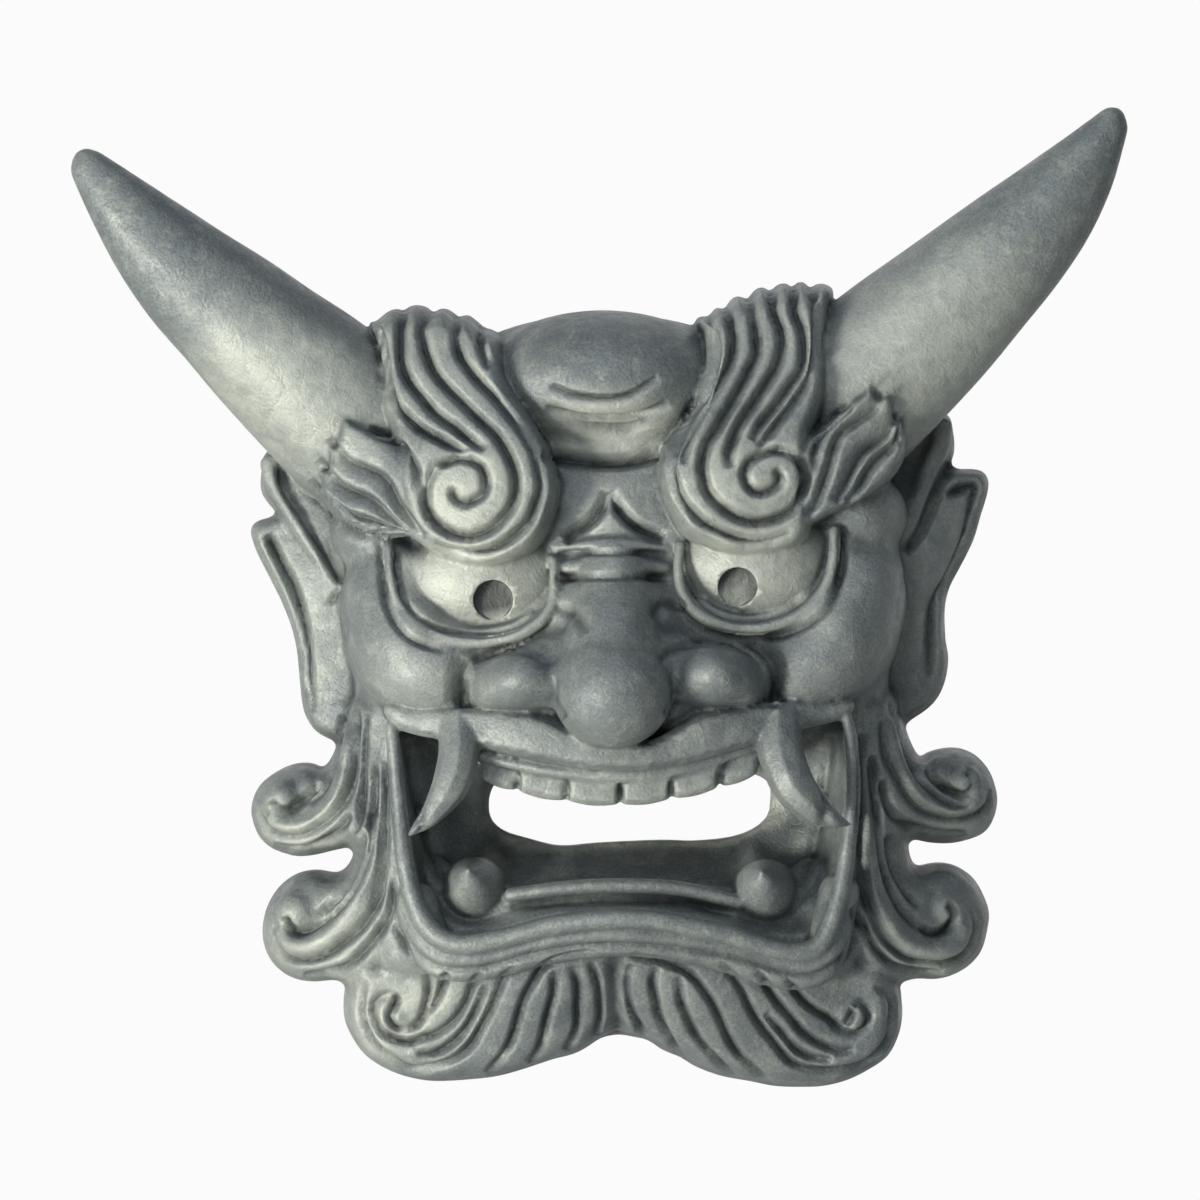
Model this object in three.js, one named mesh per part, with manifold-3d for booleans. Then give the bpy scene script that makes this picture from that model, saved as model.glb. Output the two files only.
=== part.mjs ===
// Onigawara: the demon-face ornament that closes the end of a tiled roof ridge.
// One hollow-backed shell of fired clay, modelled in millimetres.
//   x  to the viewer's right      z  up      d = -y  forwards, from the flat back at d = 0
// The origin is on the flat back rim, at the middle of the crown.
import * as THREE from "three";
import { mergeVertices } from "three/addons/utils/BufferGeometryUtils.js";
import Module from "manifold-3d";

const wasm = await Module();
wasm.setup();

// Driving dimensions
const REACH = 320; // larger than the tile in every direction
const EAR_BACK = 7;
const EAR_THICK = 21;
const MOUTH_FLOOR = 40; // depth of the floor of the mouth
const PUPIL_R = 7.7;
const PUPIL_DEEP = 11;
const GROOVE_HALF = 1.9; // half width of a carved groove
const GROOVE_DEEP = 3.6;
const GROOVE_STEP = 17; // spacing of the cuts along a groove
const LIFT = 1.5; // how far a cutter stands out of the surface it cuts

const CLAY = new THREE.MeshStandardMaterial({
  name: "ibushi_clay",
  color: 0x868d8d,
  roughness: 0.52,
  metalness: 0.35,
});

// ---------- solids from three.js geometry ----------

const at = (x, z, d) => new THREE.Vector3(x, -d, z);

function solid(geometry) {
  const plain = new THREE.BufferGeometry();
  plain.setAttribute("position", geometry.getAttribute("position"));
  if (geometry.index) plain.setIndex(geometry.index);
  const merged = mergeVertices(plain, 1e-4);
  return new wasm.Manifold(
    new wasm.Mesh({
      numProp: 3,
      vertProperties: new Float32Array(merged.attributes.position.array),
      triVerts: new Uint32Array(merged.index.array),
    }),
  );
}

// An ellipsoid: centre x, z, d and its half sizes across, up and forwards.
function blob([x, z, d], [rx, rz, rd], { turn = 0, cols = 12, rows = 8 } = {}) {
  const g = new THREE.SphereGeometry(1, cols, rows);
  g.scale(rx, rd, rz);
  g.rotateY(THREE.MathUtils.degToRad(turn));
  const p = at(x, z, d);
  return solid(g.translate(p.x, p.y, p.z));
}

// Values given at evenly spaced knots, read at t from 0 to 1.
function ramp(values, t) {
  const s = Math.min(t, 1) * (values.length - 1);
  const i = Math.min(Math.floor(s), values.length - 2);
  return THREE.MathUtils.lerp(values[i], values[i + 1], s - i);
}

// A coil of clay: a cylinder laid along a route of [x, z, d], with half widths that change along it.
// flat is its forward size against its width; a wedge has a sharp edge pointing into the clay.
function coil(route, halves, { flat = 1, sides = 8, steps = 8, spin = 0, round = false } = {}) {
  const path = new THREE.CatmullRomCurve3(route.map((p) => at(...p)), false, "centripetal");
  const g = new THREE.CylinderGeometry(1, 1, 1, sides, steps);
  const v = g.getAttribute("position");
  const forward = at(0, 0, 1);
  for (let i = 0; i < v.count; i++) {
    const t = THREE.MathUtils.clamp(v.getY(i) + 0.5, 0, 1);
    const along = path.getTangentAt(t);
    const across = new THREE.Vector3().crossVectors(along, forward).normalize();
    const out = new THREE.Vector3().crossVectors(across, along);
    const end = round ? Math.sqrt(Math.max(0.03, 1 - (2 * t - 1) ** 8)) : 1;
    const half = ramp(halves, t) * end;
    const angle = Math.atan2(v.getZ(i), v.getX(i)) + spin;
    const size = half * Math.hypot(v.getX(i), v.getZ(i));
    const p = path.getPointAt(t);
    p.addScaledVector(across, size * Math.cos(angle));
    p.addScaledVector(out, size * flat * Math.sin(angle));
    v.setXYZ(i, p.x, p.y, p.z);
  }
  return solid(g);
}

// A slab cut to an outline of [x, z], from depth d, with rounded edges.
function slab(outline, d, thick, { edge = 0, cells = 22 } = {}) {
  const closed = new THREE.CatmullRomCurve3(
    outline.map(([x, z]) => new THREE.Vector3(x, z, 0)), true, "centripetal");
  const points = closed.getSpacedPoints(cells).slice(0, cells);
  const shape = new THREE.Shape(points.map((p) => new THREE.Vector2(p.x, p.y)));
  const g = new THREE.ExtrudeGeometry(shape, {
    depth: thick - 2 * edge,
    bevelEnabled: edge > 0,
    bevelThickness: edge,
    bevelSize: edge,
    bevelOffset: -edge,
    bevelSegments: 1,
    steps: 1,
  });
  g.rotateX(Math.PI / 2);
  return solid(g.translate(0, -(d + edge), 0));
}

const join = (solids) => solids.reduce((a, b) => a.add(b));

// ---------- masses, each given for the tile's left and right as the maker left them ----------

const skull = () => join([
  blob([6, -92, 8], [106, 103, 74], { cols: 16, rows: 10 }),
  blob([1, -17, 42], [44, 30, 50], { cols: 14, rows: 8 }), // forehead
  blob([5, -72, 58], [25, 34, 32]), // between the brows
]);

// The jaw: the deep frame that the mouth is sunk into, and the temples above it.
const jaw = () => join([
  slab([[-96, -128], [-98, -160], [-95, -205], [-90, -240], [-70, -262], [-30, -262], [8, -256], [46, -262],
    [86, -264], [104, -242], [110, -205], [113, -160], [110, -124], [8, -110]], 0, 66, { edge: 8, cells: 24 }),
  blob([-80, -108, 44], [24, 32, 42], { cols: 10, rows: 6 }),
  blob([97, -106, 44], [26, 37, 42], { cols: 10, rows: 6 }),
]);

const cheeks = () => join([
  blob([-71, -127, 60], [31, 26, 40], { turn: -10, cols: 12, rows: 8 }),
  blob([88, -121, 60], [33, 27, 40], { turn: 10, cols: 12, rows: 8 }),
]);

function nose() {
  const wing = (x, z, half) =>
    blob([x, z, 96], [half, 16, 25], { cols: 10, rows: 6 }).subtract(
      solid(new THREE.BoxGeometry(60, 200, 40).translate(x, -100, z - 30)));
  return join([
    coil([[4, -84, 78], [5, -104, 88], [5, -122, 98], [5, -140, 104]], [15, 14, 18, 22], { flat: 0.9, steps: 5 }),
    blob([5, -138, 112], [23.5, 25, 28], { cols: 12, rows: 8 }),
    wing(-34, -139, 17),
    wing(48, -136, 18),
  ]);
}

function brow({ curl, tuft, tuftHalves, wisp, wispHalves }) {
  return join([
    blob([...curl, 70], [34.5, 34.5, 42], { cols: 14, rows: 8 }),
    coil(tuft, tuftHalves, { flat: 0.85, sides: 10, steps: 6, round: true }),
    coil(wisp, wispHalves, { flat: 1.1, sides: 8, steps: 5, round: true }),
  ]);
}

const brows = () => join([
  brow({
    curl: [-47, -60],
    tuft: [[-66, 14, 30], [-66, 0, 54], [-61, -20, 70], [-52, -42, 82], [-47, -62, 84]],
    tuftHalves: [20, 26, 28, 27, 22],
    wisp: [[-116, -46, 48], [-104, -52, 62], [-90, -62, 72], [-72, -74, 80], [-56, -80, 82]],
    wispHalves: [12, 18, 16, 13, 10],
  }),
  brow({
    curl: [56, -54],
    tuft: [[70, 22, 30], [67, 8, 54], [64, -14, 70], [58, -38, 82], [56, -56, 84]],
    tuftHalves: [21, 28, 27, 26, 22],
    wisp: [[120, -26, 46], [112, -38, 60], [101, -50, 72], [86, -66, 80], [70, -74, 82]],
    wispHalves: [12, 17, 17, 13, 10],
  }),
]);

function eye({ ball, pupil, lid }) {
  const hole = solid(new THREE.CylinderGeometry(PUPIL_R, PUPIL_R, 60, 14).translate(pupil[0], -92 + PUPIL_DEEP - 30, pupil[1]));
  const rim = coil(lid, [1.5, 3, 3.4, 3.6, 3.4, 3, 1.5], { flat: 1.3, sides: 4, steps: 7 });
  return { ball: blob([...ball, 60], [29.5, 25, 32], { cols: 14, rows: 8 }).add(rim), hole };
}

const eyes = () => [
  eye({
    ball: [-47.5, -93],
    pupil: [-42.4, -103.6],
    lid: [[-85, -84, 68], [-82, -101, 74], [-72, -114, 80], [-55, -121, 84], [-38, -121, 86], [-24, -114, 86], [-17, -102, 84]],
  }),
  eye({
    ball: [60, -89],
    pupil: [54.8, -98.8],
    lid: [[94, -78, 68], [93, -94, 74], [86, -107, 80], [70, -115, 84], [54, -117, 86], [40, -113, 86], [30, -101, 84]],
  }),
];

const horns = () => join([
  coil([[-207, 75, 66], [-190, 53, 62], [-167, 30, 57], [-140, 4, 51], [-115.6, -18, 45], [-90, -40, 38]],
    [4.5, 14.4, 21.6, 27.8, 31.5, 34], { sides: 12, steps: 8, round: true }),
  coil([[205.5, 92, 66], [194, 70, 62], [172, 46, 57], [144, 18, 51], [120.4, -3, 45], [94, -28, 38]],
    [4.5, 14.4, 21.6, 27.8, 31.7, 34], { sides: 12, steps: 8, round: true }),
]);

function ear({ outline, helix, rim }) {
  return join([
    slab(outline, EAR_BACK, EAR_THICK, { edge: 3 }),
    coil(helix, [3, 4.2, 4.2, 3.6, 2], { sides: 4, steps: 4 }),
    coil(rim, [3, 3.4, 3.4, 3, 2], { sides: 4, steps: 4 }),
  ]);
}

const ears = () => join([
  ear({
    outline: [[-134, -43], [-138.5, -56], [-132, -70], [-141, -73], [-141, -79], [-127, -112], [-123, -138], [-113, -158], [-104, -160], [-90, -140], [-88, -80], [-96, -50]],
    helix: [[-133, -48, 28], [-130, -63, 30], [-120, -80, 31], [-110, -96, 32], [-100, -102, 30]],
    rim: [[-137, -77, 28], [-132, -96, 29], [-124, -116, 29], [-120, -134, 27], [-119, -148, 24]],
  }),
  ear({
    outline: [[140, -27], [144, -42], [143, -51], [156, -52], [157, -62], [144, -98], [141, -112], [142.5, -128], [136, -146], [124, -153], [104, -140], [102, -80], [112, -40]],
    helix: [[140, -32, 28], [139, -46, 30], [131, -62, 31], [123, -78, 32], [115, -86, 30]],
    rim: [[146, -54, 28], [155, -58, 29], [147, -84, 29], [138, -104, 28], [134, -120, 24]],
  }),
]);

// A lock of side hair that falls from under the cheek and ends in a round curl.
function lock({ route, halves, curl, r, eye: bud }) {
  return join([
    coil(route, halves, { flat: 0.8, sides: 8, steps: 5 }),
    blob([...curl, 19], [r, r, 23], { cols: 12, rows: 6 }),
    blob([...bud, 26], [r * 0.38, r * 0.38, 19], { cols: 8, rows: 4 }),
  ]);
}

const sideHair = () => join([
  lock({
    route: [[-99, -134, 44], [-99, -156, 40], [-103, -176, 35], [-112, -189, 28], [-124, -190, 22]],
    halves: [6, 8, 12, 17, 18], curl: [-123.5, -189.5], r: 19, eye: [-131, -182],
  }),
  lock({
    route: [[-88, -145, 52], [-88, -180, 50], [-90, -205, 46], [-96, -225, 38], [-107, -236, 30], [-116, -237, 24]],
    halves: [6, 8, 10, 15, 20, 22], curl: [-115.5, -237], r: 22.3, eye: [-122, -229],
  }),
  lock({
    route: [[115, -130, 44], [115, -152, 40], [120, -170, 35], [131, -182, 28], [142, -183, 22]],
    halves: [7, 9, 12, 17, 18], curl: [142.5, -183.5], r: 19.5, eye: [147, -177],
  }),
  lock({
    route: [[106, -145, 52], [106, -180, 50], [108, -205, 46], [114, -224, 38], [126, -235, 30], [136, -235, 24]],
    halves: [6, 8, 11, 16, 21, 22], curl: [135.7, -235], r: 23.2, eye: [137, -229],
  }),
]);

const beard = () => join([
  coil([[6, -262, 42], [-22, -269, 41], [-48, -275, 38], [-70, -276, 34], [-84, -272, 30]], [18, 23, 25, 25, 23],
    { flat: 1.05, sides: 10, steps: 5 }),
  blob([-82, -272, 26], [22.4, 23, 30], { cols: 14, rows: 8 }),
  blob([-83, -266, 34], [10, 11, 27], { cols: 8, rows: 4 }),
  coil([[6, -262, 42], [30, -269, 41], [56, -275, 38], [80, -278, 34], [98, -274, 30]], [18, 22, 26, 25, 23],
    { flat: 1.05, sides: 10, steps: 5 }),
  blob([99, -274, 26], [24, 25, 30], { cols: 14, rows: 8 }),
  blob([102, -271, 34], [10, 10, 27], { cols: 8, rows: 4 }),
]);

// ---------- mouth ----------

const LIP_LINE = [
  [-83, -154, 78], [-81, -168, 78], [-80, -186, 76], [-78, -208, 74], [-71, -230, 74], [-56, -240, 77],
  [-24, -233.5, 82], [8, -230.5, 84], [40, -234, 82], [72, -243, 78], [88, -239, 75], [95, -224, 74],
  [98, -204, 75], [100, -180, 76], [98.5, -152, 78],
];

const mouthCavity = () => slab(
  [...LIP_LINE.map(([x, z]) => [x, z]), [60, -154], [8, -164], [-46, -156]], MOUTH_FLOOR, 120, { cells: 26 });

// The way through the back of the mouth.
const throat = () => slab(
  [[-44, -190], [-38, -199], [-14, -203.5], [40, -202.5], [62, -198], [68, -189], [64, -177], [10, -171], [-38, -177]],
  -10, 90, { cells: 16 });

function mouth() {
  const upperLip = coil(
    [[-82, -153, 76], [-62, -156.5, 84], [-40, -158, 92], [-18, -163, 99], [8, -167, 102], [34, -163, 99], [60, -155.5, 92], [80, -152, 84], [99, -148.5, 76]],
    [1.6, 3, 7.2, 6.8, 4.8, 6.8, 6, 3.6, 1.6], { flat: 1.3, sides: 6, steps: 10 });
  const muzzle = blob([8, -152, 58], [80, 14, 36], { cols: 12, rows: 6 });
  const palate = coil([[-62, -166, 58], [-30, -168, 70], [8, -171, 76], [44, -168, 70], [78, -164, 58]], [8, 9, 9, 9, 8],
    { flat: 1.5, sides: 6, steps: 6 });
  const teeth = [[-46, -31.5], [-31.5, -12.6], [-12.2, 7.8], [8.2, 28.4], [28.8, 47.2], [47.6, 62.5]].map(([left, right]) => {
    const mid = (left + right) / 2;
    const dip = ((mid - 8) / 55) ** 2; // 0 at the front teeth, 1 at the tusks
    const root = -173 + 13 * dip;
    return slab([[left, root], [right, root], [right - 0.5, root - 12 + 2 * dip], [left + 0.5, root - 12 + 2 * dip]],
      78 - 12 * dip, 19, { cells: 4 });
  });
  const tusks = [
    coil([[-55, -154, 82], [-56.5, -168, 90], [-62, -183, 94], [-70, -191, 93], [-77, -197, 90]], [9.5, 9, 7, 4, 0.6],
      { flat: 1.2, sides: 6, steps: 5 }),
    coil([[70, -152, 82], [76, -167, 90], [84, -180, 94], [92, -188, 93], [99, -192, 90]], [9.5, 9, 7, 4, 0.6],
      { flat: 1.2, sides: 6, steps: 5 }),
  ];
  const bead = coil(LIP_LINE, [1.5, 2.4, 2.8, 2.8, 2.8, 2.8, 1.5], { flat: 1.5, sides: 4, steps: 17 });
  const lowerLip = coil([[-76, -240, 62], [-58, -247, 68], [-24, -240, 73], [8, -237, 75], [40, -241, 73], [78, -250, 68], [94, -243, 62]],
    [8, 8.5, 8, 7.5, 8, 8.5, 8], { flat: 1.3, sides: 6, steps: 8 });
  const lowerGum = coil([[-64, -222, 50], [-40, -228, 56], [8, -222, 60], [54, -229, 56], [80, -226, 50]], [11, 9, 9, 9, 11],
    { flat: 1.1, sides: 6, steps: 6 });
  const knobs = [[-53, -220], [66, -221]].map(([x, z]) =>
    coil([[x, z - 2, 44], [x, z, 62], [x - 0.5, z + 4, 76]], [12, 11, 1], { sides: 8, steps: 3 }));
  return join([upperLip, muzzle, palate, ...teeth, ...tusks, bead, lowerLip, lowerGum, ...knobs]);
}

// ---------- the hollow back ----------

const hollow = () => join([
  blob([6, -84, 0], [80, 66, 56], { cols: 14, rows: 8 }),
  slab([[-70, -110], [-74, -160], [-72, -205], [-58, -236], [8, -232], [74, -238], [86, -205], [90, -160], [84, -110]],
    -20, 42, { edge: 6, cells: 18 }),
]);

const inFront = () => solid(
  new THREE.BoxGeometry(2 * REACH, REACH, 2 * REACH).translate(0, -REACH / 2, 0));

// ---------- carving ----------

// Lays a route of [x, z] on the front of a body and cuts a V groove along it.
function carve(body, routes) {
  const m = body.getMesh();
  const skin = new THREE.Mesh(
    new THREE.BufferGeometry()
      .setAttribute("position", new THREE.BufferAttribute(new Float32Array(m.vertProperties), 3))
      .setIndex(new THREE.BufferAttribute(new Uint32Array(m.triVerts), 1)),
    new THREE.MeshBasicMaterial({ side: THREE.DoubleSide }));
  const ray = new THREE.Raycaster();
  const depthAt = (x, z) => {
    ray.set(new THREE.Vector3(x, -REACH, z), new THREE.Vector3(0, 1, 0));
    const hits = ray.intersectObject(skin);
    return hits.length ? -hits[0].point.y : 0;
  };
  return routes.reduce((left, { route, half = GROOVE_HALF, deep = GROOVE_DEEP }) => {
    const plan = new THREE.CatmullRomCurve3(route.map(([x, z]) => new THREE.Vector3(x, 0, z)), false, "centripetal");
    const steps = Math.max(4, Math.round(plan.getLength() / GROOVE_STEP));
    const laid = plan.getSpacedPoints(steps).map((p) => [p.x, p.z, depthAt(p.x, p.z) + LIFT]);
    // A three-sided coil with one edge pointing back, into the clay.
    const across = (half * (deep + LIFT)) / deep;
    const cutter = coil(laid, [0.4, across, across, across, 0.4].map((w) => w * 1.16),
      { flat: (deep + LIFT) / (1.16 * across), sides: 3, steps, spin: Math.PI });
    return left.subtract(cutter);
  }, body);
}

const GROOVES = [
  // left brow
  { route: [[-70, 6], [-67, -10], [-50, -31], [-36, -47], [-34, -65], [-46, -77.5], [-61, -77], [-69, -66], [-67, -53]] },
  { route: [[-57, 5], [-53, -11], [-36, -31], [-23, -52], [-26, -71], [-39, -83], [-57, -84.5]] },
  { route: [[-60, -48], [-47, -49], [-42, -60], [-52, -67], [-58, -61]] },
  // right brow
  { route: [[50, 8], [52, -8], [38, -33], [31, -55], [38, -71], [55, -80.5], [66, -80.5]] },
  { route: [[60, 12], [60, -10], [46, -34], [40, -56], [52, -71], [72, -71], [81.5, -54], [78, -47]] },
  { route: [[79, 14], [79, -10], [66, -34], [58, -48], [58, -60], [70, -60]] },
  // side hair
  { route: [[-139, -188], [-132, -198], [-118, -198.5], [-104, -186], [-98, -165], [-97.5, -142]] },
  { route: [[-133.5, -236], [-126, -248], [-110, -247], [-95, -233], [-87, -210], [-91, -165]] },
  { route: [[159, -182], [147, -192.5], [131, -189], [118, -174], [112, -148]] },
  { route: [[148, -226], [152, -240], [139, -251], [121, -244], [108, -226], [104, -180]] },
  // beard
  { route: [[-94, -258], [-99, -272], [-87, -290], [-68, -294], [-48, -280], [-33, -250]] },
  { route: [[-47, -252], [-54, -267], [-71, -282], [-86, -280], [-91, -268], [-84, -262]] },
  { route: [[0, -244], [-26, -255], [-35, -278], [-48, -295]] },
  { route: [[110, -260], [118, -275], [108, -290], [90, -293], [68, -279], [47, -246]] },
  { route: [[102, -267], [109, -272], [101, -279], [90, -271], [75, -253]] },
  { route: [[12, -246], [40, -257], [50, -275], [67, -296]] },
  // forehead
  { route: [[-21, -28], [2, -35], [26, -27]], half: 3.4, deep: 3 },
];

// ---------- the tile ----------

function tile() {
  const [left, right] = eyes();
  const head = join([skull(), jaw(), sideHair(), beard(), horns(), ears()])
    .subtract(mouthCavity());
  const face = join([head, mouth(), left.ball, right.ball, cheeks(), nose(), brows()])
    .intersect(inFront())
    .subtract(hollow())
    .subtract(throat())
    .subtract(left.hole)
    .subtract(right.hole);
  return carve(face, GROOVES);
}

function meshOf(name, body, material) {
  const m = body.getMesh();
  const g = new THREE.BufferGeometry()
    .setAttribute("position", new THREE.BufferAttribute(new Float32Array(m.vertProperties), 3))
    .setIndex(new THREE.BufferAttribute(new Uint32Array(m.triVerts), 1));
  g.computeVertexNormals();
  const mesh = new THREE.Mesh(g, material);
  mesh.name = name;
  return mesh;
}

const onigawara = new THREE.Group();
onigawara.add(meshOf("onigawara_tile", tile(), CLAY));
export default onigawara;
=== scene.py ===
"""Onigawara: a ridge-end roof tile of smoke-fired clay in the form of an oni's face.

The tile is built as its maker builds it. Pads, balls and coils of clay are luted together and softened
into one body, the mouth is sunk and the back hollowed, and the hair, lids and wrinkles are then cut in
with a chisel. Shapes are given in millimetres as (x, z) or (x, z, d): x to the viewer's right, z up and
d forwards from the flat back. The scene is in metres, with d running along -Y.
"""

from __future__ import annotations

import logging
import math
from dataclasses import dataclass
from enum import Enum
from typing import Callable, Protocol, Sequence

import bmesh  # noqa: E402
import bpy  # noqa: E402
import numpy as np  # noqa: E402
from mathutils import Matrix, Vector  # noqa: E402


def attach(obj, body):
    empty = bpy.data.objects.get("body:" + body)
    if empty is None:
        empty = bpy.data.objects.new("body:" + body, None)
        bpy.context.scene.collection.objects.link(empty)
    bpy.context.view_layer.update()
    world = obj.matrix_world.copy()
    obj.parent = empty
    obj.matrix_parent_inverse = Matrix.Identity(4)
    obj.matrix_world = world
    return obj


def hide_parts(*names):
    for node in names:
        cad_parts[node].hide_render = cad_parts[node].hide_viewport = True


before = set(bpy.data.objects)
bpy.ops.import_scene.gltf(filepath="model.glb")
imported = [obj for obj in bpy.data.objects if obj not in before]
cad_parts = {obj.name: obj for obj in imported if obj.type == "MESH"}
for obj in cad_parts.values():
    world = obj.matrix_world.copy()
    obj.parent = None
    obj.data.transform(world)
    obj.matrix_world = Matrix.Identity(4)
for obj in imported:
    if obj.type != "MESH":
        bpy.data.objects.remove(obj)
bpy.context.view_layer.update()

LOG = logging.getLogger("onigawara")
MM = 0.001
Route = Sequence[tuple[float, ...]]
Spot = tuple[float, float, float]
Field = Callable[[np.ndarray], np.ndarray]

# Grain of the clay at each stage, in millimetres
ROUGH_GRAIN = 1.6
FINE_GRAIN = 0.9
PAD_GRID = 1.5
OUTLINE_STEP = 0.8  # spacing of the points along an outline
TRIANGLES = 190_000

# Height of the studio floor, in metres: the tile hangs by its back, well clear of it
FLOOR = -0.75


# ---------------------------------------------------------------------------
# Lines and fields
# ---------------------------------------------------------------------------

ROUTE_SPLITS = 12  # points worked out between two points of a route
BATCH = 20_000  # points compared at a time, which bounds the memory
FAR_REACH, FAR_SHARE = 3.5, 1e-4  # the weak second pull of a known depth, for places far from all


def smooth_route(route: Route, step: float, closed: bool = False) -> np.ndarray:
    """Runs a smooth line through a route and spaces points evenly along it.

    Args:
        route: Points of any number of values; a fourth value, such as a half width, is carried along.
        step: Spacing of the result in millimetres.
        closed: True for an outline that returns to its start.

    Returns:
        One row for each point.
    """
    p = np.array(route, float)
    before, after = (p[-1:], p[:2]) if closed else (2 * p[:1] - p[1:2], 2 * p[-1:] - p[-2:-1])
    p = np.vstack([before, p, after])
    t = np.linspace(0, 1, ROUTE_SPLITS, endpoint=False)[:, None]
    runs = []
    for a, b, c, d in zip(p[:-3], p[1:-2], p[2:-1], p[3:]):
        runs.append(0.5 * (2 * b + (c - a) * t + (2 * a - 5 * b + 4 * c - d) * t**2
                           + (3 * b - a - 3 * c + d) * t**3))
    line = np.vstack([*runs, p[-2][None]])
    plan = line[:, :3] if line.shape[1] > 3 else line
    run = np.concatenate([[0], np.cumsum(np.linalg.norm(np.diff(plan, axis=0), axis=1))])
    count = max(3, int(round(run[-1] / step)) + 1)
    at = np.linspace(0, run[-1], count)
    even = np.column_stack([np.interp(at, run, column) for column in line.T])
    return even[:-1] if closed else even


def nearest(points: np.ndarray, line: np.ndarray) -> tuple[np.ndarray, np.ndarray]:
    """Finds the nearest point of a line to each point.

    Args:
        points: Rows of x, z.
        line: Rows of x, z, closely spaced.

    Returns:
        The distances, and the index on the line of each nearest point.
    """
    gap = np.empty(len(points))
    which = np.empty(len(points), int)
    for start in range(0, len(points), BATCH):
        part = slice(start, start + BATCH)
        square = ((points[part][:, None, :] - line[None, :, :2]) ** 2).sum(2)
        which[part] = square.argmin(1)
        gap[part] = np.sqrt(square.min(1))
    return gap, which


def inside(points: np.ndarray, outline: np.ndarray) -> np.ndarray:
    """Tells which points lie inside a closed outline, by counting crossings.

    Args:
        points: Rows of x, z.
        outline: Corners of the outline, as rows of x, z.

    Returns:
        One truth value for each point.
    """
    x, z = points[:, 0][:, None], points[:, 1][:, None]
    x0, z0 = outline[:, 0][None], outline[:, 1][None]
    x1, z1 = np.roll(outline[:, 0], -1)[None], np.roll(outline[:, 1], -1)[None]
    spans = (z0 > z) != (z1 > z)
    rise = np.where(z1 == z0, 1e-9, z1 - z0)
    crosses = spans & (x < (x1 - x0) * (z - z0) / rise + x0)
    return crosses.sum(1) % 2 == 1


def pins(*known: Spot, reach: float = 16.0) -> Field:
    """Makes a smooth depth field from depths known at a few places.

    Args:
        known: Places as (x, z, d).
        reach: How far the pull of each place extends, in millimetres.

    Returns:
        A function from rows of x, z to depths.
    """
    table = np.array(known, float)

    def depth(points: np.ndarray) -> np.ndarray:
        """Blends the known depths, the nearest the most strongly."""
        square = ((points[:, None, :] - table[None, :, :2]) ** 2).sum(2)
        far = FAR_SHARE * np.exp(-square / (2 * (FAR_REACH * reach) ** 2))
        pull = np.exp(-square / (2 * reach**2)) + far + 1e-12
        return (pull * table[:, 2]).sum(1) / pull.sum(1)

    return depth


def shoulder(gap: np.ndarray, width: float) -> np.ndarray:
    """Rises from 0 at an edge to 1, as a quarter circle does, over a width."""
    return np.sqrt(1 - (1 - np.minimum(gap / width, 1)) ** 2)


def place(x: float, z: float, d: float) -> Vector:
    """Turns millimetres (x, z, d) into a point of the scene."""
    return Vector((x * MM, -d * MM, z * MM))


def read_vectors(mesh: bpy.types.Mesh, key: str) -> np.ndarray:
    """Reads one vector of every vertex.

    Args:
        mesh: Mesh to read.
        key: "co" for the places or "normal" for the normals.

    Returns:
        One row for each vertex.
    """
    values = np.empty(len(mesh.vertices) * 3, np.float32)
    mesh.vertices.foreach_get(key, values)
    return values.reshape(-1, 3)


# ---------------------------------------------------------------------------
# Clay
# ---------------------------------------------------------------------------


@dataclass(frozen=True)
class Pad:
    """A pad of clay: an outline, the depth its foot stands at, and a front that rounds over to its edge.

    Attributes:
        outline: Rows of x, z.
        foot: Depth of the flat back of the pad.
        crest: Depth of its front, away from the edge.
        edge: Width over which the front rounds down.
        wall: Share of the height that stands straight up at the outline.
    """

    outline: Route
    foot: float
    crest: Field
    edge: float = 9.0
    wall: float = 0.35


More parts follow.
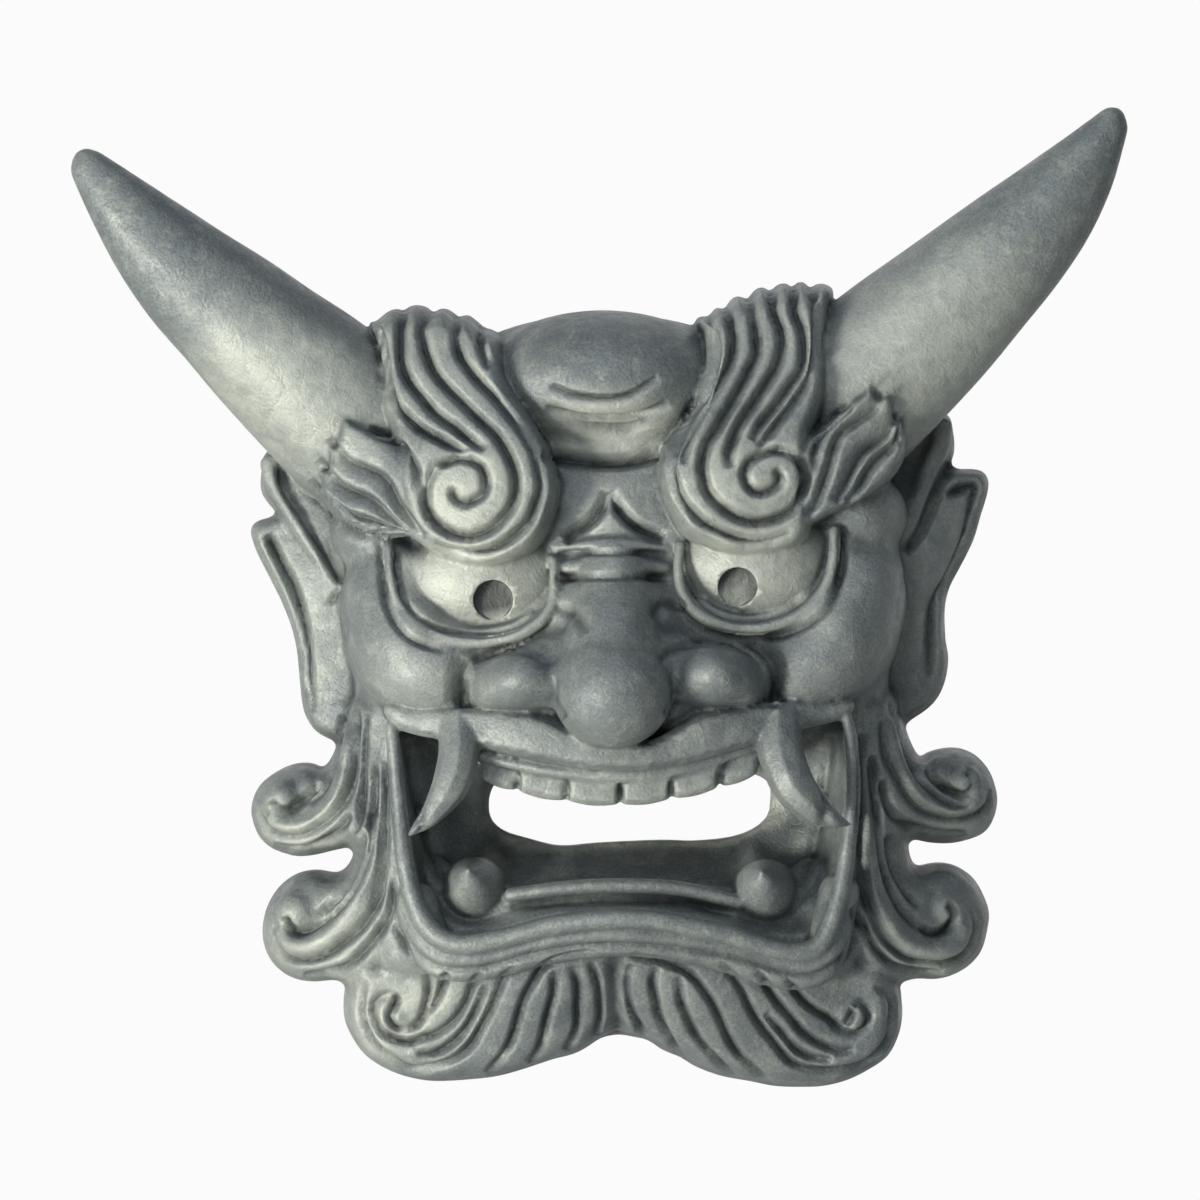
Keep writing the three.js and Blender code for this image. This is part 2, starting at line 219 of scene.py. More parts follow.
class Clay:
    """A body of clay, growing mass by mass in one bmesh of closed shells."""

    THINNEST = 0.3  # least half width of a coil, in millimetres
    CAP_ANGLES = (0.5, 0.95, 1.35)  # of the rings that close a coil's round end, in radians
    CAP_REACH = 0.8  # how far the round end stands out, against the half width
    MARGIN = 2  # of a sheet's grid round its outline, in millimetres

    def __init__(self) -> None:
        """Starts with no clay."""
        self.bm = bmesh.new()

    def ball(self, centre: Spot, size: Spot, turn: float = 0.0) -> None:
        """Adds an ellipsoid.

        Args:
            centre: x, z, d.
            size: Half sizes across, up and forwards.
            turn: Turn in the plane of the face, in degrees.
        """
        across, up, forward = size
        matrix = (Matrix.Translation(place(*centre)) @ Matrix.Rotation(math.radians(turn), 4, "Y")
                  @ Matrix.Diagonal((across * MM, forward * MM, up * MM, 1)))
        bmesh.ops.create_icosphere(self.bm, subdivisions=5, radius=1, matrix=matrix)

    def coil(self, route: Route, flat: float = 1.0, sides: int = 20, step: float = 2.5) -> None:
        """Adds a coil with round ends along a route of (x, z, d, half width).

        Args:
            route: Points and half widths.
            flat: Forward size of the section against its width.
            sides: Number of sides of the section.
            step: Spacing of the sections in millimetres.
        """
        line = smooth_route(route, step)
        spots = [place(*p[:3]) for p in line]
        forward = Vector((0, -1, 0))
        rings = []
        for i, spot in enumerate(spots):
            along = (spots[min(i + 1, len(spots) - 1)] - spots[max(i - 1, 0)]).normalized()
            across = along.cross(forward).normalized()
            out = across.cross(along)
            half = max(line[i][3], self.THINNEST) * MM
            columns = (across * half, out * half * flat, along * half, spot)
            rings.append(Matrix([(*(c[r] for c in columns),) for r in range(3)] + [(0, 0, 0, 1)]))
        head, tail = ([end @ Matrix.Translation((0, 0, side * self.CAP_REACH * math.sin(a)))
                       @ Matrix.Diagonal((math.cos(a), math.cos(a), 1, 1)) for a in self.CAP_ANGLES]
                      for end, side in ((rings[0], -1), (rings[-1], 1)))
        rings = head[::-1] + rings + tail
        ring = bmesh.ops.create_circle(
            self.bm, cap_ends=True, segments=sides, radius=1, matrix=rings[0])["verts"]
        face = ring[0].link_faces[0]
        for before, after in zip(rings, rings[1:]):
            grown = bmesh.ops.extrude_face_region(self.bm, geom=[face])["geom"]
            ring = [g for g in grown if isinstance(g, bmesh.types.BMVert)]
            face = next(g for g in grown if isinstance(g, bmesh.types.BMFace))
            bmesh.ops.transform(self.bm, matrix=after @ before.inverted(), verts=ring)

    def sheet(self, edge: np.ndarray, form: Field) -> tuple[list[bmesh.types.BMVert], np.ndarray]:
        """Adds a sheet: a grid raised into a form and trimmed to an outline.

        Args:
            edge: Points of the outline, as rows of x, z.
            form: Depth at each place.

        Returns:
            The sheet's vertices, and the place of each as a row of x, z.
        """
        low, high = edge.min(0) - self.MARGIN, edge.max(0) + self.MARGIN
        across, up = (int(n) for n in np.ceil((high - low) / PAD_GRID))
        grid = bmesh.ops.create_grid(self.bm, x_segments=across, y_segments=up, size=1)["verts"]
        plan = low + (np.array([v.co[:2] for v in grid]) + 1) / 2 * (high - low)
        kept = inside(plan, edge)
        for vert, (x, z), d in zip(grid, plan, form(plan)):
            vert.co = place(x, z, d)
        bmesh.ops.delete(self.bm, geom=[v for v, k in zip(grid, kept) if not k], context="VERTS")
        loose = [v for v, k in zip(grid, kept) if k and not v.link_faces]
        if loose:
            bmesh.ops.delete(self.bm, geom=loose, context="VERTS")
        left = [i for i, v in enumerate(grid) if v.is_valid]
        return [grid[i] for i in left], plan[left]

    def thicken(self, sheet: Sequence[bmesh.types.BMVert], y: float) -> None:
        """Makes a sheet solid, by extruding it straight to a plane.

        Args:
            sheet: The sheet's vertices.
            y: Place of the plane, in metres.
        """
        faces = dict.fromkeys(f for v in sheet for f in v.link_faces)
        grown = bmesh.ops.extrude_face_region(self.bm, geom=list(faces))["geom"]
        for vert in (g for g in grown if isinstance(g, bmesh.types.BMVert)):
            vert.co.y = y

    def pad(self, pad: Pad) -> None:
        """Adds a pad: a sheet for its front, with its rim on the outline, extruded back to its foot.

        Args:
            pad: Form of the pad.
        """
        edge = smooth_route(pad.outline, OUTLINE_STEP, closed=True)

        def front(points: np.ndarray) -> np.ndarray:
            """Depth of the front, rounding down towards the outline."""
            rise = shoulder(nearest(points, edge)[0], pad.edge)
            return pad.foot + (pad.crest(points) - pad.foot) * (pad.wall + (1 - pad.wall) * rise)

        sheet, plan = self.sheet(edge, front)
        rim = [i for i, vert in enumerate(sheet) if vert.is_boundary]
        _, which = nearest(plan[rim], edge)
        depth = pad.foot + (pad.crest(plan[rim]) - pad.foot) * pad.wall
        for i, (x, z), d in zip(rim, edge[which], depth):
            sheet[i].co = place(x, z, d)
        self.thicken(sheet, -pad.foot * MM)

    def body(self, name: str) -> bpy.types.Object:
        """Ends the work on this clay.

        Args:
            name: Name of the object.

        Returns:
            An object with all the shells in it.
        """
        bmesh.ops.recalc_face_normals(self.bm, faces=self.bm.faces)
        mesh = bpy.data.meshes.new(name)
        self.bm.to_mesh(mesh)
        self.bm.free()
        return show(bpy.data.objects.new(name, mesh))


def show(thing: bpy.types.Object) -> bpy.types.Object:
    """Links an object to the scene and returns it."""
    bpy.context.scene.collection.objects.link(thing)
    return thing


def settle(thing: bpy.types.Object) -> bpy.types.Object:
    """Bakes an object's modifiers into its mesh.

    Args:
        thing: Object to work on.

    Returns:
        The same object.
    """
    graph = bpy.context.evaluated_depsgraph_get()
    baked = bpy.data.meshes.new_from_object(thing.evaluated_get(graph))
    old = thing.data
    thing.modifiers.clear()
    thing.data = baked
    bpy.data.meshes.remove(old)
    return thing


def soften(thing: bpy.types.Object, name: str, passes: int, weight: float) -> None:
    """Gives an object a smoothing modifier.

    Args:
        thing: Object to work on.
        name: Name of the modifier.
        passes: Passes of smoothing.
        weight: Strength of each pass.
    """
    smooth = thing.modifiers.new(name, "SMOOTH")
    smooth.factor = weight
    smooth.iterations = passes


def fuse(thing: bpy.types.Object, grain: float, passes: int = 0, weight: float = 0.5) -> bpy.types.Object:
    """Makes overlapping shells one skin and softens its joins.

    Args:
        thing: Object to work on.
        grain: Size of the grid in millimetres.
        passes: Passes of smoothing.
        weight: Strength of each pass.

    Returns:
        The same object.
    """
    remesh = thing.modifiers.new("fuse", "REMESH")
    remesh.mode = "VOXEL"
    remesh.voxel_size = grain * MM
    remesh.adaptivity = 0
    if passes:
        soften(thing, "soften", passes, weight)
    return settle(thing)


def cut(thing: bpy.types.Object, tool: bpy.types.Object) -> bpy.types.Object:
    """Cuts a tool's volume out of a body and removes the tool.

    Args:
        thing: Body to cut.
        tool: Object with the volume to take away.

    Returns:
        The body.
    """
    boolean = thing.modifiers.new("cut", "BOOLEAN")
    boolean.operation = "DIFFERENCE"
    boolean.solver = "MANIFOLD"
    boolean.object = tool
    settle(thing)
    bpy.data.objects.remove(tool)
    return thing


def join(first: bpy.types.Object, second: bpy.types.Object) -> bpy.types.Object:
    """Puts the second object's shells into the first one.

    Args:
        first: Object that takes them.
        second: Object that is used up.

    Returns:
        The first object.
    """
    bm = bmesh.new()
    for thing in (first, second):
        bm.from_mesh(thing.data)
    bm.to_mesh(first.data)
    bm.free()
    bpy.data.objects.remove(second)
    return first


# ---------------------------------------------------------------------------
# Chisel
# ---------------------------------------------------------------------------


class Edge(Enum):
    """Form of a chisel stroke's section."""

    VEE = "vee"  # a sharp valley between two rounded strands
    SOFT = "soft"  # a shallow hollow, or a raised roll when the depth is negative
    STEP = "step"  # a valley whose right-hand side, looking along the stroke, falls away


@dataclass(frozen=True)
class Stroke:
    """One stroke along a route of (x, z).

    Attributes:
        route: Points of the stroke.
        deep: Depth in millimetres; negative raises the clay.
        wide: Half width in millimetres.
        edge: Form of the section.
        fade: Share of the length over which each end tapers, first and last.
        over: The stroke only touches clay that stands further forward than this depth.
    """

    route: Route
    deep: float = 3.4
    wide: float = 3.2
    edge: Edge = Edge.VEE
    fade: tuple[float, float] = (0.12, 0.12)
    over: float = 2.0


class Chisel:
    """Cuts strokes into the front of a body."""

    CELL = 1.0  # of the map of the foremost clay, in millimetres
    SLACK = 4.0  # how far behind the foremost clay a stroke still bites fully; it fades over as much again
    SPACING = 0.6  # of the points along a stroke, in millimetres
    REACH = 2.2  # how far a section extends to each side, against the half width
    LEAN = 0.6  # share of the clay's own normal in the way it moves; the rest is straight forwards

    def __init__(self, thing: bpy.types.Object) -> None:
        """Reads a body and maps the clay that a stroke from the front can reach.

        Args:
            thing: Body to cut.
        """
        self.mesh = thing.data
        self.co = read_vectors(self.mesh, "co")
        self.normal = read_vectors(self.mesh, "normal")
        self.plan = self.co[:, [0, 2]] / MM
        self.depth = -self.co[:, 1] / MM
        low = self.plan.min(0)
        cell = ((self.plan - low) / self.CELL).astype(int)
        flat = cell[:, 0] * (cell[:, 1].max() + 1) + cell[:, 1]
        front = np.full(flat.max() + 1, -1e3, np.float32)
        np.maximum.at(front, flat, self.depth)
        facing = np.clip((-self.normal[:, 1] + 0.05) / 0.45, 0, 1)
        self.bite = facing * np.clip(2 - (front[flat] - self.depth) / self.SLACK, 0, 1)
        self.down = np.zeros(len(self.co), np.float32)
        self.up = np.zeros(len(self.co), np.float32)

    def section(self, edge: Edge, side: np.ndarray, u: np.ndarray) -> np.ndarray:
        """Shape of a stroke across its width.

        Args:
            edge: Form of the section.
            side: Signed distance from the line, positive to the right.
            u: Distance from the line in half widths.

        Returns:
            Share of the full depth at each place.
        """
        if edge is Edge.SOFT:
            return np.exp(-(u**2) * 1.6)
        if edge is Edge.STEP:
            return np.where(side > 0, np.exp(-((u / 1.7) ** 2) * 1.6), np.maximum(1 - u * 1.6, 0) ** 1.5)
        return 0.85 * np.maximum(1 - u, 0) ** 1.15 + 0.15 * np.exp(-(u**2) * 1.4)

    def strike(self, stroke: Stroke) -> None:
        """Adds one stroke to the cut.

        Args:
            stroke: The stroke; where two overlap the deeper one counts.
        """
        line = smooth_route(stroke.route, self.SPACING)
        reach = stroke.wide * self.REACH
        low, high = line.min(0) - reach, line.max(0) + reach
        near = np.nonzero((self.bite > 0) & (self.depth > stroke.over)
                          & (self.plan > low).all(1) & (self.plan < high).all(1))[0]
        if not len(near):
            return
        gap, which = nearest(self.plan[near], line)
        close = gap < reach
        near, which = near[close], which[close]
        tangent = np.gradient(line, axis=0)
        tangent /= np.linalg.norm(tangent, axis=1)[:, None] + 1e-9
        away = self.plan[near] - line[which]
        side = away[:, 0] * tangent[which, 1] - away[:, 1] * tangent[which, 0]
        along = (away * tangent[which]).sum(1)
        past = np.where((which == 0) | (which == len(line) - 1), np.abs(along), 0)
        shape = self.section(stroke.edge, side, np.hypot(side, past) / stroke.wide)
        t = which / (len(line) - 1)
        start, end = (max(share, 1e-3) for share in stroke.fade)
        taper = np.minimum(np.clip(t / start, 0, 1), np.clip((1 - t) / end, 0, 1))
        shape = shape * np.sqrt(taper) * self.bite[near] * abs(stroke.deep)
        target = self.up if stroke.deep < 0 else self.down
        target[near] = np.maximum(target[near], shape)

    def finish(self) -> None:
        """Moves the clay."""
        lean = self.normal * self.LEAN
        lean[:, 1] -= 1 - self.LEAN
        lean /= np.linalg.norm(lean, axis=1)[:, None] + 1e-9
        self.co += lean * ((self.up - self.down) * MM)[:, None]
        self.mesh.vertices.foreach_set("co", self.co.ravel())
        self.mesh.update()


# ---------------------------------------------------------------------------
# Sub-assemblies
# ---------------------------------------------------------------------------


class Part(Protocol):
    """What every sub-assembly can do."""

    def add_to(self, clay: Clay) -> None:
        """Adds its masses to a body of clay."""

    def strokes(self) -> list[Stroke]:
        """Lists the strokes that are cut into it."""


@dataclass(frozen=True)
class HornSizes:
    """Centre line of one horn as (x, z, d, half width), and the ball of its tip."""

    line: Route
    tip: Spot
    tip_half: float


@dataclass(frozen=True)
class Horn:
    """A thick smooth horn that leans out and a little forwards."""

    sizes: HornSizes

    LEFT = HornSizes(
        line=((-205, 69.5, 66, 8), (-191, 53.2, 64, 14.2), (-177.2, 38, 62, 19.4), (-162.6, 23.6, 59, 23.4),
              (-147.2, 10.4, 56, 26.4), (-132.2, -3.2, 53, 29.2), (-116.8, -16.4, 50, 31.8),
              (-95, -36, 46, 34)),
        tip=(-205.6, 71.2, 66), tip_half=6.0)
    RIGHT = HornSizes(
        line=((204.6, 86, 66, 7.6), (192.3, 68.2, 64, 15), (179.2, 52.2, 62, 20.4), (165, 37.6, 59, 24.2),
              (150.3, 23.7, 56, 27), (135.6, 9.9, 53, 29.8), (120.6, -3.5, 50, 32), (100, -22, 46, 34)),
        tip=(205, 88.2, 66), tip_half=5.8)

    def add_to(self, clay: Clay) -> None:
        """Adds the horn's masses.

        Args:
            clay: Clay that takes them.
        """
        clay.coil(self.sizes.line, flat=1.0, sides=48, step=3)
        half = self.sizes.tip_half
        clay.ball(self.sizes.tip, (half, half, half))

    def strokes(self) -> list[Stroke]:
        """A horn is left smooth.

        Returns:
            The strokes, in order.
        """
        return []


@dataclass(frozen=True)
class Skull:
    """Crown, forehead, temples and the deep frame of the jaw."""

    balls: tuple[tuple[Spot, Spot], ...] = (
        ((6, -92, 8), (106, 103, 74)), ((1, -17, 42), (52, 30, 50)), ((2, -16, 32), (64, 28, 44)),
        ((5, -76, 50), (30, 34, 34)), ((-82, -106, 40), (23, 30, 40)), ((99, -103, 40), (25, 34, 40)),
        ((-88, -76, 44), (21, 18, 32)), ((100, -70, 44), (24, 20, 34)))
    jaw: Route = (
        (-97, -120), (-99, -160), (-98, -200), (-97, -235), (-88, -258), (-50, -262), (8, -256), (60, -262),
        (100, -262), (112, -235), (116, -200), (116, -160), (114, -118), (60, -100), (8, -98), (-50, -100))
    jaw_crest: tuple[Spot, ...] = ((-90, -200, 66), (8, -255, 72), (108, -200, 66), (8, -120, 78))

    def add_to(self, clay: Clay) -> None:
        """Adds the skull's masses.

        Args:
            clay: Clay that takes them.
        """
        for centre, size in self.balls:
            clay.ball(centre, size)
        clay.pad(Pad(self.jaw, foot=0, crest=pins(*self.jaw_crest), edge=16))

    def strokes(self) -> list[Stroke]:
        """Wrinkles of the forehead.

        Returns:
            The strokes, in order.
        """
        return [
            Stroke(((-20, -18), (-10, -22), (2, -23.2), (12, -21.6), (23, -15)), 4, 1.8, Edge.STEP,
                   fade=(0.3, 0.3)),
            Stroke(((-22, -27), (-8, -31), (4.6, -31.6), (16, -30.4), (27, -25)), 7, 2.7, Edge.STEP,
                   fade=(0.4, 0.4)),
            Stroke(((-20, -28.5), (-8, -34.4), (4.6, -36), (15, -34.4), (25.6, -27)), 4.4, 4,
                   fade=(0.4, 0.4)),
            Stroke(((-23, -46), (-10, -48), (3, -49), (14, -48), (26, -45)), 7, 4.2, fade=(0.15, 0.15)),
        ]


@dataclass(frozen=True)
class Glabella:
    """The pinched panel between the brows, with its chevron and two bars."""

    bars: tuple[Route, ...] = (
        ((-16, -84, 78, 3), (5, -82.5, 84, 3.6), (26, -84, 78, 3)),
        ((-15, -91.5, 80, 3), (5, -90.5, 88, 4), (26, -91.5, 80, 3)))

    def add_to(self, clay: Clay) -> None:
        """Adds the bars.

        Args:
            clay: Clay that takes them.
        """
        for bar in self.bars:
            clay.coil(bar, flat=1.2)

    def strokes(self) -> list[Stroke]:
        """The chevron and the grooves above and below the bars.

        Returns:
            The strokes, in order.
        """
        return [
            Stroke(((3.2, -60), (1, -66.6), (-3, -71.6), (-8, -75.8), (-15, -79.8)), 7.4, 3.8,
                   fade=(0.3, 0.35)),
            Stroke(((26, -79.6), (16.4, -75.8), (10.6, -71.2), (6.4, -66), (3.8, -60)), 7.4, 3.8,
                   fade=(0.35, 0.3)),
            Stroke(((-20, -85.6), (5, -84.8), (28, -85.6)), 3.0, 2.2),
            Stroke(((-18, -95.4), (5, -94.6), (27, -95.4)), 3.0, 2.4),
            Stroke(((-12, -78.6), (5, -77.4), (20, -78.6)), 1.6, 2.2),
        ]


@dataclass(frozen=True)
class Nose:
    """Bridge, bulb and nostril wings."""

    bridge: Route = ((5, -92, 82, 14), (5, -106, 90, 16), (5, -120, 99, 19), (5, -134, 105, 22))
    balls: tuple[tuple[Spot, Spot], ...] = (
        ((5, -140, 108), (24, 22.5, 27)), ((5, -112, 74), (30, 22, 27)), ((6, -132, 88), (44, 18, 25)))
    left_crest: tuple[Spot, ...] = ((-33, -137, 123), (-49, -137, 106), (-14, -137, 112))
    right_crest: tuple[Spot, ...] = ((47, -136, 123), (64, -136, 106), (27, -136, 112))
    left_wing: Route = ((-51, -146), (-52.4, -138), (-49, -129.4), (-41, -123.6), (-28, -121), (-16, -124),
                        (-9, -134), (-11, -147.6), (-24, -148.6), (-38, -148.8), (-47, -148.4))
    right_wing: Route = ((66, -144.6), (67.4, -136.4), (63.6, -127.4), (55, -121.4), (42, -119), (30, -122),
                         (22, -132), (25, -146.4), (38, -147.4), (52, -147.4), (61, -147))

    def add_to(self, clay: Clay) -> None:
        """Adds the nose's masses.

        Args:
            clay: Clay that takes them.
        """
        clay.coil(self.bridge, flat=0.95)
        for centre, size in self.balls:
            clay.ball(centre, size)
        for wing, crest in ((self.left_wing, self.left_crest), (self.right_wing, self.right_crest)):
            clay.pad(Pad(wing, foot=62, crest=pins(*crest, reach=9), edge=14, wall=0.35))

    def strokes(self) -> list[Stroke]:
        """Creases round the wings and at the corners of the bridge.

        Returns:
            The strokes, in order.
        """
        return [
            Stroke(((-51, -131), (-47.6, -127), (-41, -124.4), (-33, -123.4), (-25, -125.6), (-20, -131)),
                   3.6, 2.6,
                   fade=(0.3, 0.3)),
            Stroke(((23, -129), (29, -123.4), (37, -120.8), (46, -120.6), (56, -123), (62.6, -127.6)), 3.6,
                   2.6,
                   fade=(0.3, 0.3)),
            Stroke(((-50.6, -128), (-52.8, -133), (-53.6, -139), (-53, -147)), 4.6, 3.6, Edge.STEP,
                   fade=(0.4, 0.2)),
            Stroke(((68, -147), (68.8, -139), (67.4, -131), (62, -123.6), (52, -119.4)), 4.2, 3.2,
                   Edge.STEP,
                   fade=(0.2, 0.4)),
            Stroke(((-17, -134), (-18.6, -140), (-17.6, -146), (-14, -151)), 3.4, 2.8, fade=(0.5, 0.1)),
            Stroke(((27.6, -132), (29.6, -138), (29.4, -144), (26, -149.6)), 3.4, 2.8, fade=(0.5, 0.1)),
            Stroke(((-18, -107), (-10, -110), (-5, -117)), 3.0, 3.4, Edge.SOFT, fade=(0.3, 0.3)),
            Stroke(((34, -107), (26, -106), (21, -112)), 3.0, 3.4, Edge.SOFT, fade=(0.3, 0.3)),
        ]


@dataclass(frozen=True)
class EyeSizes:
    """One eye.

    Attributes:
        ball: Centre of the eyeball, as x, z.
        pupil: Centre of the pupil and its half width.
        lid: Centre line of the lid, as (x, z, d, half width).
        outer: Crease outside the lid.
        inner: Crease between the lid and the eyeball.
    """

    ball: tuple[float, float]
    pupil: Spot
    lid: Route
    outer: Route
    inner: Route


@dataclass(frozen=True)
class Eye:
    """A wide staring eye with a drilled pupil, and the lid round its lower side."""

    DRILL_FLOOR = 82.4  # depth of the pupil's floor, in millimetres
    DRILL_LENGTH = 52  # of the drill that cuts it
    DRILL_SIDES = 40
    DRILL_RIMS = (0.7, 1.2, 2)  # insets that keep the floor's shading even
    sizes: EyeSizes

    LEFT = EyeSizes(
        ball=(-46, -94), pupil=(-42.4, -104, 8),
        lid=((-84.6, -82, 78, 2.4), (-83.2, -95, 82, 2.6), (-79.6, -106.4, 85, 2.8), (-72, -114.6, 88, 2.8),
             (-61.6, -119.4, 90, 2.8), (-46, -120.6, 91, 2.6), (-32, -117.6, 92, 2.6),
             (-23.6, -112.4, 91.4, 2.6), (-19.4, -106, 89, 2.4), (-18, -97, 86, 2.2), (-18.6, -87, 82, 2)),
        outer=((-87.6, -80), (-86.6, -98), (-82.6, -111), (-74.6, -119.6), (-61, -124)),
        inner=((-81.6, -82), (-80, -97), (-75, -107.6), (-66, -114), (-56, -117), (-44, -117.4),
               (-33, -114.4), (-25, -107)))
    RIGHT = EyeSizes(
        ball=(60, -89), pupil=(54.6, -98.8, 7.8),
        lid=((93.6, -76, 78, 2.4), (92.8, -89, 82, 2.6), (88.6, -101, 85, 2.8), (80, -109.6, 88, 2.8),
             (68, -114.6, 90, 2.8), (56, -115.6, 91, 2.6), (44, -112.6, 92, 2.6), (36.4, -107.4, 91.4, 2.6),
             (32.4, -101, 89, 2.4), (31, -92, 86, 2.2), (31.8, -82, 82, 2)),
        outer=((96.6, -74), (96.4, -90), (92.4, -103.6), (83, -113), (70, -118.4), (56, -119.2),
               (41, -116)),
        inner=((90.4, -77), (89.4, -88), (85, -98.4), (77, -106.4), (66.6, -110.8), (56, -111.8),
               (46.6, -109), (38.6, -102.4), (34, -94)))

    def add_to(self, clay: Clay) -> None:
        """Adds the eyeball and the lid.

        Args:
            clay: Clay that takes them.
        """
        x, z = self.sizes.ball
        clay.ball((x, z, 58), (38, 29.5, 31))
        clay.coil(self.sizes.lid, flat=1.0, step=2)
        clay.coil([(x, z - 1.6, d - 10, h + 5) for x, z, d, h in self.sizes.lid[1:8]], flat=1.0)

    def drill(self, tool: Clay) -> None:
        """Adds the pupil's hole to a cutting tool.

        Args:
            tool: The tool.
        """
        x, z, half = self.sizes.pupil
        middle = place(x, z, self.DRILL_FLOOR + self.DRILL_LENGTH / 2)
        matrix = Matrix.Translation(middle) @ Matrix.Rotation(math.radians(90), 4, "X")
        ring = bmesh.ops.create_cone(
            tool.bm, cap_ends=True, segments=self.DRILL_SIDES, radius1=half * MM, radius2=half * MM,
            depth=self.DRILL_LENGTH * MM, matrix=matrix)["verts"]
        faces = dict.fromkeys(f for v in ring for f in v.link_faces)
        caps = [f for f in faces if len(f.verts) == self.DRILL_SIDES]
        for rim in self.DRILL_RIMS:
            bmesh.ops.inset_region(tool.bm, faces=caps, thickness=rim * MM)

    def strokes(self) -> list[Stroke]:
        """The creases on both sides of the lid.

        Returns:
            The strokes, in order.
        """
        return [
            Stroke(self.sizes.outer, 3.2, 2.6, fade=(0.15, 0.15)),
            Stroke(self.sizes.inner, 2.4, 1.8, fade=(0.1, 0.1)),
        ]


@dataclass(frozen=True)
class Cheeks:
    """The two heavy cheeks and the muzzle between them."""

    skin: Route = ((-96, -80), (-103, -104), (-103, -124), (-96, -140), (-86, -149), (-60, -154),
                   (-50, -151), (-20, -150), (30, -150), (62, -148), (78, -149), (92, -147), (108, -141),
                   (117, -131), (122, -112), (118, -94), (108, -74), (60, -60), (5, -60), (-50, -60))
    front: tuple[Spot, ...] = ((-72, -130, 92), (-90, -112, 84), (-93, -92, 78), (-25, -125, 90),
                               (5, -122, 92), (-47, -94, 70), (88, -127, 92), (106, -108, 84),
                               (109, -88, 78), (36, -123, 90), (60, -89, 70), (5, -92, 78), (5, -148, 88),
                               (-60, -148, 88), (74, -145, 88))

    def add_to(self, clay: Clay) -> None:
        """Adds the cheeks' masses.

        Args:
            clay: Clay that takes them.
        """
        clay.coil(((-88, -90, 46, 14), (-84, -108, 56, 20), (-72, -125, 62, 25), (-56, -131, 66, 21)),
                  flat=1.35)
        clay.coil(((106, -84, 46, 15), (102, -104, 56, 21), (89, -121, 62, 26), (72, -129, 66, 21)),
                  flat=1.35)
        clay.ball((-68, -131, 64), (29, 21.5, 33), 12)
        clay.ball((85, -127, 64), (30, 22, 33), -12)
        clay.ball((8, -146, 58), (74, 16, 42))
        clay.pad(Pad(self.skin, foot=30, crest=pins(*self.front), edge=20, wall=0.3))

    def strokes(self) -> list[Stroke]:
        """The cheeks are left smooth.

        Returns:
            The strokes, in order.
        """
        return []


@dataclass(frozen=True)
class BrowSizes:
    """One brow: the tuft with its volute, the wisps beside it and the strokes between the strands."""

    tuft: Route
    crest: tuple[Spot, ...]
    wisps: Route
    leaves: tuple[Route, ...]
    wisp_crest: tuple[Spot, ...]
    strands: tuple[Route, ...]
    eye: Route


